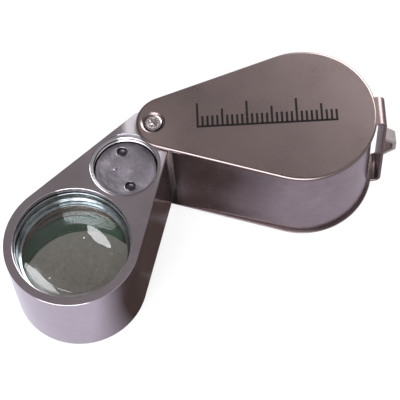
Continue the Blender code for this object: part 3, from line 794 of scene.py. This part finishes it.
def make_loop(looks):
    """Trapezoid cast bail with rounded edges."""
    low, high = box("lanyard_loop")
    height = (low.z + high.z) / 2.0
    foot = (high.z - low.z) / 2.0
    tip = 1.4
    reach = high.x - low.x
    thick = 0.8
    fall = (foot - tip) / reach
    leg = thick * math.hypot(1.0, fall)
    foot_in = foot - leg
    tip_in = foot_in - fall * (reach - thick)
    x0 = low.x
    x1 = high.x
    outline = fillet([
        (x0, height - foot, 0.1),
        (x1, height - tip, 0.7),
        (x1, height + tip, 0.7),
        (x0, height + foot, 0.1),
        (x0, height + foot_in, 0.1),
        (x1 - thick, height + tip_in, 0.35),
        (x1 - thick, height - tip_in, 0.35),
        (x0, height - foot_in, 0.1),
    ], steps=6)
    bail = new_object("lanyard_bail", extruded(outline, low.y, high.y, axis="Y"))
    bevel(bail, 0.22, 4, 50.0)
    finish_piece(bail, looks["loop"], "case", "loop_metal", "lanyard_loop")


def screw_section(top, low, flip):
    """Countersunk screw: shank with run-out threads, cone and slightly crowned head."""
    head_r = 1.75
    shank = 0.6
    taper = 0.55
    section = [(0.0, low), (shank - 0.15, low), (shank, low + 0.15)]
    z = low + 0.3
    while z < top - 1.0:
        section += [(shank, z), (shank - 0.09, z + 0.12), (shank, z + 0.24)]
        z += 0.25
    section += [
        (shank, top - 0.6),
        (head_r - taper, top - 0.58),
        (head_r, top - 0.13),
        (head_r - 0.02, top - 0.06),
        (head_r - 0.12, top - 0.02),
        (head_r - 0.5, top),
        (0.0, top),
    ]
    if flip:
        section = [(r, -z) for r, z in section]
    return section


def drive_bar(turn, level, length, width, depth):
    """Slightly rounded bar that cuts one slot of a screw's drive."""
    bar = new_object("drive", block_box((length, width, 2.0 * depth), (0.0, 0.0, level)),
                     TO_PIVOT @ Matrix.Rotation(turn, 4, "Z"))
    bevel(bar, 0.1, 3)
    return bar


def make_screws(looks):
    low, high = box("top_screw")
    top = new_object("cross_screw", turned(screw_section(high.z, low.z, False), 72), TO_PIVOT)
    for turn in (35.0, 125.0):
        combine(top, drive_bar(math.radians(turn), high.z, 2.3, 0.45, 0.4), "DIFFERENCE")
    burr = turned([(0.0, -0.5), (0.42, -0.42), (0.5, 0.1), (0.0, 0.1)], 24)
    cut(top, burr, TO_PIVOT @ Matrix.Translation((0.05, 0.02, high.z)))
    bevel(top, 0.05, 2, 40.0)
    finish_piece(top, looks["screw"], "case", "screw_metal", "top_screw")

    low, high = box("bottom_screw")
    bottom = new_object("slot_screw", turned(screw_section(-low.z, -high.z, True), 72), TO_PIVOT)
    combine(bottom, drive_bar(0.0, low.z, 4.5, 0.45, 0.4), "DIFFERENCE")
    bevel(bottom, 0.05, 2, 40.0)
    finish_piece(bottom, looks["screw"], "case", "screw_metal", "bottom_screw")


def make_pivot_parts(looks):
    for name, node, inner, look, body, slot in (
        ("post_tube", "pivot_post", 0.9, "pivot", "case", "pivot_metal"),
        ("spacer_ring", "pivot_spacer", 1.75, "pivot", "case", "pivot_metal"),
        ("bush_tube", "pivot_bush", 1.75, "bronze", "block", "bronze"),
    ):
        outer, low, high = turned_from(node)
        section = ring_section(inner, outer, low, high, 0.1)
        turned_piece(name, section, 72, TO_PIVOT, looks[look], body, slot, node)


# ---- lens block

def soft_mouth(radius, soft, steps):
    """Top of a cutter's section: a rounded mouth, then clear of the block."""
    section = []
    for k in range(steps + 1):
        a = math.pi / 2.0 * k / steps
        section.append((radius + soft * (1.0 - math.cos(a)), BLOCK_TOP - soft * (1.0 - math.sin(a))))
    return section + [(radius + soft, BLOCK_TOP + CUT_OVER), (0.0, BLOCK_TOP + CUT_OVER)]


def lens_cutter():
    """Barrel bore, narrower at its top mouth, with softened edges."""
    soft = BLOCK_EDGE
    lip_low = BLOCK_TOP - BLOCK_LIP_DEPTH
    section = [
        (0.0, BLOCK_LOW - CUT_OVER),
        (LENS_BORE_R + soft, BLOCK_LOW - CUT_OVER),
        (LENS_BORE_R + soft, BLOCK_LOW),
        (LENS_BORE_R, BLOCK_LOW + soft),
        (LENS_BORE_R, lip_low),
        (BLOCK_MOUTH_R + 0.1, lip_low),
        (BLOCK_MOUTH_R, lip_low + 0.1),
    ]
    section += soft_mouth(BLOCK_MOUTH_R, soft, 5)
    return turned(section, 160)


def battery_cutter():
    """Cell cavity with rounded thread ridges and a softened entry."""
    entry = BLOCK_TOP - 0.35
    top = entry - 0.1
    section = [(0.0, FLOOR_Z), (CAVITY_R, FLOOR_Z)]
    depth = THREAD_OUT_R - CAVITY_R
    per_turn = 10
    bottom = top - THREAD_TURNS * THREAD_PITCH
    for i in range(THREAD_TURNS * per_turn + 1):
        z = bottom + i * THREAD_PITCH / per_turn
        swell = 0.5 - 0.5 * math.cos(2.0 * math.pi * i / per_turn)
        section.append((CAVITY_R + depth * swell**0.7, z))
    section.append((ENTRY_R, entry))
    section += soft_mouth(ENTRY_R, 0.12, 4)
    return turned(section, 144)


def make_block(looks):
    layers = []
    for z, inset in edge_stack(BLOCK_LOW, BLOCK_TOP, BLOCK_EDGE, BLOCK_EDGE, 4, 0.05):
        outline = teardrop(BLOCK_NECK, BLOCK_ROUND_R, BLOCK_REACH, BLOCK_END, inset, 120, 40)
        layers.append((z, outline))
    block = new_object("swing_block", layered(layers), TO_BLOCK)
    cut(block, lens_cutter(), TO_LENS)
    cut(block, battery_cutter(), TO_BATTERY)
    drill = ring_section(0.0, PIVOT_BORE_R, BLOCK_LOW - CUT_OVER, BLOCK_TOP + CUT_OVER, 0.0)
    cut(block, turned(drill, 72), TO_PIVOT)
    low, high = box("switch_body")
    pocket_top = high.z + 0.25
    pocket = block_box((8.5, 4.5, 2.0 * (pocket_top - BLOCK_LOW)), (0.0, 0.0, BLOCK_LOW))
    cut(block, pocket, TO_BATTERY)
    rivet_hole = ring_section(0.0, 1.0, pocket_top - CUT_OVER, FLOOR_Z + CUT_OVER, 0.0)
    cut(block, turned(rivet_hole, 40), TO_BATTERY)
    groove_start = BATTERY_REACH + 4.0
    groove_end = BLOCK_REACH - LENS_BORE_R + CUT_OVER
    groove = block_box((groove_end - groove_start, 2.1, 1.6),
                       ((groove_start + groove_end) / 2.0, 0.0, BLOCK_LOW))
    cut(block, groove, TO_BLOCK)
    finish_piece(block, looks["block"], "block", "block_metal", "lens_block")


def make_barrel(looks):
    """Bright stepped tube."""
    outer, low, high = turned_from("lens_barrel")
    bore = outer - 0.9
    ledge_low = BLOCK_TOP - LENS_SEAT_DEPTH + LEDGE_T
    ledge_top = ledge_low + LEDGE_T
    band_top = ledge_top + 1.25
    collar = outer - 0.35
    section = fillet([
        (collar, low, 0.25),
        (collar, BLOCK_LOW - 0.35, 0.05),
        (outer, BLOCK_LOW, 0.05),
        (outer, high, 0.08),
        (bore + 0.25, high, 0.1),
        (bore + 0.25, band_top + 0.55, 0.2),
        (bore - 0.15, band_top, 0.06),
        (bore - 0.15, ledge_top, 0.04),
        (bore - 0.55, ledge_low + 0.35, 0.08),
        (bore - 0.55, ledge_low, 0.04),
        (bore, ledge_low, 0.02),
        (bore, low, 0.2),
    ], steps=6)
    turned_piece("chrome_barrel", section, 160, TO_LENS, looks["barrel"],
                 "block", "barrel_metal", "lens_barrel")


def make_glass(looks):
    """Domed upper lens and the lower lens, which bulges downwards."""
    radius, low, high = turned_from("eye_lens")
    rim_top = high - EYE_RISE
    soft = 0.08
    eye = [(0.0, low), (radius - soft, low), (radius, low + soft), (radius, rim_top - soft)]
    eye += [(radius - 0.3 * soft, rim_top)] + dome(radius - 0.3 * soft, rim_top, EYE_RISE)
    turned_piece("domed_eye_lens", eye, 160, TO_LENS, looks["glass"],
                 "block", "lens_glass", "eye_lens", weighted=False)
    radius, low, high = turned_from("field_lens")
    rim_low = low + FIELD_FALL
    field = [(0.0, high), (radius - soft, high), (radius, high - soft), (radius, rim_low)]
    field += [(r, -z) for r, z in dome(radius, -rim_low, FIELD_FALL)]
    turned_piece("field_glass", field, 160, TO_LENS, looks["coated"],
                 "block", "lens_glass", "field_lens", weighted=False)


def ribbed_tube(inner, outer, low, high, pitch, depth):
    """Ring section whose bore has fine glare-stopping grooves."""
    section = [(outer, low), (outer, high), (inner, high)]
    count = max(1, int((high - low) / pitch))
    step = (high - low) / count
    for i in range(count):
        z = high - i * step
        section += [(inner, z - 0.15 * step), (inner + depth, z - 0.5 * step), (inner, z - 0.85 * step)]
    section.append((inner, low))
    return section


def make_rings(looks):
    """Spacer, retainer, lamp board and clip inside the barrel."""
    radius, low, high = turned_from("lens_spacer")
    section = ribbed_tube(radius - 0.9, radius, low, high, 0.5, 0.14)
    turned_piece("ribbed_spacer", section, 144, TO_LENS, looks["tube"],
                 "block", "inner_ring", "lens_spacer")
    radius, low, high = turned_from("lens_retainer")
    section = ribbed_tube(radius - 1.2, radius, low, high, 0.35, 0.1)
    tube = new_object("ribbed_retainer", turned(section, 144), TO_LENS)
    for turn in (0.0, math.pi / 2.0):
        notch = block_box((2.4 * radius, 1.0, 1.2), (0.0, 0.0, low))
        cut(tube, notch, TO_LENS @ Matrix.Rotation(turn, 4, "Z"))
    finish_piece(tube, looks["tube"], "block", "inner_ring", "lens_retainer")
    radius, low, high = turned_from("led_board")
    section = ring_section(radius - 2.9, radius, low, high, 0.06)
    turned_piece("lamp_board", section, 144, TO_LENS, looks["board"],
                 "block", "circuit_board", "led_board")
    radius, low, high = turned_from("board_clip")
    section = ring_section(radius - 0.55, radius, low, high, 0.12)
    clip = new_object("snap_ring", turned(section, 144), TO_LENS)
    gap = block_box((2.0, 1.6, 3.0), (radius, 0.0, (low + high) / 2.0))
    cut(clip, gap, TO_LENS)
    bevel(clip, 0.08, 2, 50.0)
    finish_piece(clip, looks["barrel"], "block", "barrel_metal", "board_clip")


def make_lamps(looks):
    """Small resin bulbs that hang below a flange."""
    for name, node in (("bulb_left", "led_left"), ("bulb_right", "led_right")):
        low, high = box(node)
        at = middle(node)
        radius = half_width(node)
        bulb_r = 0.88 * radius
        fall = 0.76
        rim = low.z + fall
        section = [(0.0, high.z), (radius, high.z), (radius, high.z - 0.25), (bulb_r, high.z - 0.3)]
        section.append((bulb_r, rim))
        section += [(r, -z) for r, z in dome(bulb_r, -rim, fall, 10)]
        place = Matrix.Translation((at.x, at.y, 0.0))
        turned_piece(name, section, 48, place, looks["lamp"], "block", "lamp_resin", node)


# ---- battery well

def cap_height(x, y, level):
    """Level of the cast cap face: a shallow ripple, a lower rim and a centre-punch mark."""
    punch_x, punch_y, punch_r = 1.1, -1.9, 0.3
    rim_r = 5.3
    ripple = noise.fractal(Vector((x, y, 3.0)) * 1.1, 0.9, 2.1, 4)
    z = level + 0.02 * ripple - 0.02
    punch = math.hypot(x - punch_x, y - punch_y)
    if punch < punch_r:
        z -= 0.22 * (1.0 - (punch / punch_r) ** 2)
    far = math.hypot(x, y)
    if far > rim_r:
        z -= 0.03 * min(1.0, (far - rim_r) / 0.3)
    return z


def make_cap(looks):
    """Screw cap: threads down its side, a cast face and two spanner holes."""
    radius, low, high = turned_from("battery_cap")
    steps = 176
    section = [(0.0, low), (radius - 0.2, low), (radius, low + 0.2)]
    z = low + 0.35
    while z < high - 0.6:
        section += [(radius, z), (radius - 0.12, z + 0.2), (radius, z + 0.4)]
        z += 0.45
    section += [(radius, high - 0.2), (radius - 0.06, high - 0.07), (radius - 0.2, high)]
    rings = 52
    for i in range(1, rings):
        section.append(((radius - 0.2) * (1.0 - i / rings), high))
    section.append((0.0, high))
    bm = turned(section, steps)
    for vert in bm.verts:
        if vert.co.z > high - 1e-4:
            vert.co.z = cap_height(vert.co.x, vert.co.y, high)
    cap = new_object("screw_cap", bm, TO_BATTERY)
    hole_r = 1.05
    depth = 1.2
    spread = 4.0
    angle = math.radians(44.5)
    for side in (1.0, -1.0):
        section = [
            (0.0, high - depth - 0.3),
            (hole_r - 0.15, high - depth - 0.03),
            (hole_r, high - depth + 0.1),
            (hole_r, high - 0.12),
            (hole_r + 0.04, high - 0.06),
            (hole_r + 0.14, high),
            (hole_r + 0.2, high + 0.3),
            (0.0, high + 0.3),
        ]
        at = (*polar(side * spread, angle), 0.0)
        cut(cap, turned(section, 56), TO_BATTERY @ Matrix.Translation(at))
    finish_piece(cap, looks["cap"], "cap", "cap_metal", "battery_cap", weighted=False)


def make_cells(looks):
    """Button cells: a can with a crimped shoulder round a raised lid."""
    for i in (1, 2, 3):
        node = f"battery_cell_{i}"
        radius, low, high = turned_from(node)
        section = fillet([
            (0.0, low, 0.0),
            (radius - 1.6, low, 0.2),
            (radius - 1.4, low + 0.3, 0.1),
            (radius - 0.7, low + 0.3, 0.1),
            (radius, low + 0.6, 0.25),
            (radius, high, 0.2),
            (0.0, high, 0.0),
        ])
        turned_piece(f"button_cell_{i}", section, 96, TO_BATTERY, looks["cell"],
                     "cells", "cell_metal", node)


def make_contacts(looks):
    """Insulating film, contact board and its rivet, all turned."""
    sleeve_in = half_width("battery_sleeve") - 0.25
    for name, node, inner, soft, steps, look, slot in (
        ("film_sleeve", "battery_sleeve", sleeve_in, 0.08, 96, "card", "sleeve_card"),
        ("contact_board", "contact_disc", 0.0, 0.08, 96, "board", "circuit_board"),
        ("brass_rivet", "contact_rivet", 0.0, 0.12, 48, "bronze", "bronze"),
    ):
        outer, low, high = turned_from(node)
        section = ring_section(inner, outer, low, high, soft)
        turned_piece(name, section, steps, TO_BATTERY, looks[look], "block", slot, node)


def make_spring(looks):
    """Conical contact spring that narrows from the disc up to the cell."""
    low, high = box("contact_spring")
    cell_r = half_width("battery_cell_1")
    turns = 3
    steps = 48 * turns
    sides = 10
    wire = 0.25
    base = low.z + wire
    rise = high.z - low.z - 2.0 * wire
    wide = cell_r - 1.6
    narrow = 1.75
    bm = bmesh.new()
    rings = []
    for i in range(steps + 1):
        t = i / steps
        a = 2.0 * math.pi * turns * t
        radius = wide + (narrow - wide) * t
        ring = []
        for k in range(sides):
            b = 2.0 * math.pi * k / sides
            r = radius + wire * math.cos(b)
            z = base + rise * t + wire * math.sin(b)
            ring.append(bm.verts.new((*polar(r, a), z)))
        rings.append(ring)
    for here, there in zip(rings, rings[1:]):
        for k in range(sides):
            m = (k + 1) % sides
            bm.faces.new((here[k], here[m], there[m], there[k]))
    bm.faces.new(list(reversed(rings[0])))
    bm.faces.new(rings[-1])
    spring = new_object("coil_contact", bm, TO_BATTERY)
    finish_piece(spring, looks["spring"], "block", "spring_metal", "contact_spring")


# ---- switch

def make_switch(looks):
    """Slotted switch frame with two eyelets, and its ribbed slider."""
    low, high = box("switch_body")
    outside = block_box((8.0, 4.0, high.z - low.z), (0.0, 0.0, (low.z + high.z) / 2.0))
    switch = new_object("switch_frame", outside, TO_BATTERY)
    slot = block_box((4.5, 1.6, 1.6), (0.0, 0.0, low.z))
    cut(switch, slot, TO_BATTERY)
    for side in (1.0, -1.0):
        eyelet = turned(ring_section(0.0, 0.45, low.z - 0.2, low.z + 0.35, 0.0), 32)
        cut(switch, eyelet, TO_BATTERY @ Matrix.Translation((side * 3.2, 0.0, 0.0)))
    bevel(switch, 0.12, 3, 50.0)
    finish_piece(switch, looks["switch"], "block", "switch_plastic", "switch_body")

    low, high = box("switch_slider")
    centre = TO_BLOCK.inverted() @ ((low + high) / 2.0)
    length, width = 2.0, 1.1
    stub = block_box((length, width, high.z - low.z), (0.0, 0.0, centre.z))
    knob = new_object("slide_knob", stub, TO_BLOCK @ Matrix.Translation((centre.x, 0.0, 0.0)))
    for offset in (-0.6, -0.2, 0.2, 0.6):
        rib = block_box((0.16, 2.0 * width, 0.24), (centre.x + offset, 0.0, low.z))
        cut(knob, rib, TO_BLOCK)
    bevel(knob, 0.07, 2, 50.0)
    finish_piece(knob, looks["slider"], "slider", "slider_plastic", "switch_slider")


def dress_kept_nodes(looks):
    """The washer and the strip keep their CAD mesh, and get a better material."""
    for node in ("friction_washer", "contact_strip"):
        mesh = frame["nodes"][node].data
        mesh.materials.clear()
        mesh.materials.append(looks["bronze"].material)


# ---- print

def make_print(looks):
    """A plain millimetre rule printed on the top plate."""
    start = pivot.x + 9.0
    length = 28
    base_y = -1.6
    line = 0.46
    thick = 0.02
    top = CASE_HEIGHT + thick / 2.0
    bm = block_box((length + line, line, thick), (start + length / 2.0, base_y, top))
    mesh = bpy.data.meshes.new("rule")
    for i in range(length + 1):
        tall = RULE_TICKS[0] if i % 10 == 0 else RULE_TICKS[1] if i % 5 == 0 else RULE_TICKS[2]
        tick = block_box((line, tall, thick), (start + i, base_y + tall / 2.0, top))
        tick.to_mesh(mesh)
        tick.free()
        bm.from_mesh(mesh)
    bpy.data.meshes.remove(mesh)
    rule = new_object("printed_rule", bm)
    finish_piece(rule, looks["ink"], "case", "inner_ring", weighted=False)


# ---- studio

def emission(name, colour, strength):
    made = bpy.data.materials.new(name)
    made.use_nodes = True
    tree = made.node_tree
    tree.nodes.clear()
    glow = tree.nodes.new("ShaderNodeEmission")
    glow.inputs["Color"].default_value = (*colour, 1.0)
    glow.inputs["Strength"].default_value = strength
    out = tree.nodes.new("ShaderNodeOutputMaterial")
    tree.links.new(glow.outputs["Emission"], out.inputs["Surface"])
    return made


def toward(azimuth, elevation):
    """Unit vector: azimuth 0 is +Y and 90 is +X, both in degrees."""
    a, e = math.radians(azimuth), math.radians(elevation)
    return Vector((math.sin(a) * math.cos(e), math.cos(a) * math.cos(e), math.sin(e)))


def panel(name, corners, distance, colour, strength):
    """Glowing panel whose corners lie in these directions from the lens."""
    eye = lens_middle * MM
    bm = bmesh.new()
    centre = sum((toward(a, e) for a, e in corners), Vector()) / len(corners)
    normal = centre.normalized()
    verts = []
    for a, e in corners:
        way = toward(a, e)
        verts.append(bm.verts.new(eye + way * (distance / way.dot(normal))))
    bm.faces.new(verts)
    made = from_bmesh(name, bm)
    made.data.materials.append(emission(name, colour, strength))
    return made


def make_floor():
    """Pale card that takes a faint shadow. Glossy rays, which include reflections and refraction through
    the lens, see it glow instead: browner with a painted shadow near the object, and a painted dark patch
    under the lens at its rest place.
    """
    look = Look("floor_card", (0.86, 0.86, 0.86), 0.6, 0.0)
    look.colour(look.mix(look.noise(60.0, 2.0, 0.5), (0.84, 0.84, 0.84), (0.88, 0.88, 0.88)))
    glow = look.node("ShaderNodeEmission", Strength=1.0)
    glow.inputs["Color"].default_value = (1.0, 1.0, 1.0, 1.0)
    pale = look.node("ShaderNodeMixShader")
    pale.inputs["Fac"].default_value = FLOOR_GLOW
    look.link(look.shader.outputs["BSDF"], pale.inputs[1])
    look.link(glow.outputs["Emission"], pale.inputs[2])
    # Glossy rays, refraction through the lens included, see these painted colours: a painted shadow near
    # the object and a painted dark patch under the lens at its rest place.
    away = nearest(look, ((pivot.x + 9.0, -5.0), (pivot.x + 4.0, -18.0), (pivot.x + 1.0, -30.0)))
    right = look.range(look.along("X"), pivot.x - 8.0, pivot.x + 16.0, 0.0, 1.0)
    far = look.mix(right, REFLECTED_GLOW_LEFT, REFLECTED_GLOW_RIGHT)
    reflected_glow = look.mix(look.range(away, 6.0, 19.0, 0.0, 1.0), FLOOR_PAINTED_SHADOW, far)
    from_lens = distance_xy(look, lens_middle)
    rim = look.range(distance_xy(look, lens_middle + Vector((-1.5, 2.0, 0.0))), 3.0, 13.0, 0.0, 0.8)
    mottle = look.range(look.noise(0.35, 3.0, 0.6), 0.3, 0.7, 0.0, 0.25)
    under_lens_shade = look.mix(look.plus(rim, mottle), UNDER_LENS_SHADE_MIDDLE, UNDER_LENS_SHADE_RIM)
    inside = look.range(from_lens, 12.0, 12.6, 1.0, 0.0)
    reflected_glow = look.mix(inside, reflected_glow, under_lens_shade)
    glow_for_reflections = look.node("ShaderNodeEmission", Strength=1.0)
    look.link(reflected_glow, glow_for_reflections.inputs["Color"])
    rays = look.node("ShaderNodeLightPath")
    choose = look.node("ShaderNodeMixShader")
    look.link(rays.outputs["Is Glossy Ray"], choose.inputs["Fac"])
    look.link(pale.outputs["Shader"], choose.inputs[1])
    look.link(glow_for_reflections.outputs["Emission"], choose.inputs[2])
    look.link(choose.outputs["Shader"], look.tree.nodes["Material Output"].inputs["Surface"])
    bm = bmesh.new()
    corners = ((-1, -1), (1, -1), (1, 1), (-1, 1))
    bm.faces.new([bm.verts.new((x * FLOOR_HALF, y * FLOOR_HALF, -FLOOR_DROP)) for x, y in corners])
    floor = from_bmesh("floor", bm)
    floor.data.materials.append(look.material)


def make_world():
    """Room light by direction: pale round the horizon, dim brown behind, grey overhead."""
    world = bpy.data.worlds.new("room")
    bpy.context.scene.world = world
    world.use_nodes = True
    tree = world.node_tree
    background = tree.nodes["Background"]
    coordinates = tree.nodes.new("ShaderNodeTexCoord")
    split = tree.nodes.new("ShaderNodeSeparateXYZ")
    tree.links.new(coordinates.outputs["Generated"], split.inputs["Vector"])

    def ramp(stops):
        made = tree.nodes.new("ShaderNodeValToRGB")
        band = made.color_ramp
        while len(band.elements) < len(stops):
            band.elements.new(0.5)
        for element, (spot, colour) in zip(band.elements, stops):
            element.position = spot
            element.color = (*colour, 1.0)
        tree.links.new(split.outputs["Z"], made.inputs["Fac"])
        return made.outputs["Color"]

    back = ramp([
        (0.0, (1.0, 1.0, 1.0)),
        (0.12, (0.95, 0.95, 0.95)),
        (0.22, (0.12, 0.10, 0.095)),
        (0.66, (0.14, 0.115, 0.11)),
        (0.80, (0.33, 0.31, 0.305)),
        (1.0, (0.40, 0.38, 0.38)),
    ])
    front = ramp([
        (0.0, (1.0, 1.0, 1.0)),
        (0.5, (0.9, 0.9, 0.92)),
        (0.9, (0.42, 0.40, 0.40)),
        (1.0, (0.40, 0.38, 0.38)),
    ])
    side = tree.nodes.new("ShaderNodeMapRange")
    side.inputs["From Min"].default_value = 0.15
    side.inputs["From Max"].default_value = -0.25
    tree.links.new(split.outputs["Y"], side.inputs["Value"])
    mix = tree.nodes.new("ShaderNodeMix")
    mix.data_type = "RGBA"
    tree.links.new(side.outputs["Result"], mix.inputs["Factor"])
    tree.links.new(back, mix.inputs[6])
    tree.links.new(front, mix.inputs[7])
    tree.links.new(mix.outputs[2], background.inputs["Color"])
    background.inputs["Strength"].default_value = 1.0


def make_camera():
    """Long lens that looks down on the open loupe from the front, rolled a little."""
    azimuth = math.radians(CAMERA_AZIMUTH)
    elevation = math.radians(CAMERA_ELEVATION)
    roll = math.radians(CAMERA_ROLL)
    back = Vector((
        math.sin(azimuth) * math.cos(elevation),
        -math.cos(azimuth) * math.cos(elevation),
        math.sin(elevation),
    ))
    right = Vector((math.cos(azimuth), math.sin(azimuth), 0.0))
    up = back.cross(right)
    turned_right = math.cos(roll) * right + math.sin(roll) * up
    turned_up = math.cos(roll) * up - math.sin(roll) * right
    data = bpy.data.cameras.new("camera")
    data.sensor_width = CAMERA_SENSOR
    data.lens = CAMERA_LENS
    data.clip_start = 0.01
    camera = linked("camera", data)
    place = Matrix((turned_right, turned_up, back)).transposed().to_4x4()
    place.translation = (Vector(CAMERA_TARGET) + CAMERA_DISTANCE * back) * MM
    camera.matrix_world = place
    bpy.context.scene.camera = camera


def make_studio():
    make_floor()
    make_world()
    panel("window_light", WINDOW_CORNERS, WINDOW_DISTANCE, (0.97, 0.98, 1.0), WINDOW_STRENGTH)
    panel("front_light", FRONT_CORNERS, FRONT_DISTANCE, (0.93, 0.98, 1.0), FRONT_STRENGTH)
    spot = pivot + Vector((*GLINT_FROM_PIVOT, BLOCK_TOP))
    card = panel("glint_card", GLINT_CORNERS, GLINT_DISTANCE, (1.0, 1.0, 1.0), GLINT_STRENGTH)
    card.location = (spot - lens_middle) * MM
    card.visible_camera = False
    bpy.context.scene.view_settings.view_transform = "Standard"


def main():
    looks = make_looks()
    for make in (
        make_case, make_wall, make_loop, make_screws, make_pivot_parts, make_block, make_barrel,
        make_glass, make_rings, make_lamps, make_cap, make_cells, make_contacts, make_spring,
        make_switch, dress_kept_nodes, make_print,
    ):
        make(looks)
    make_studio()
    make_camera()


main()
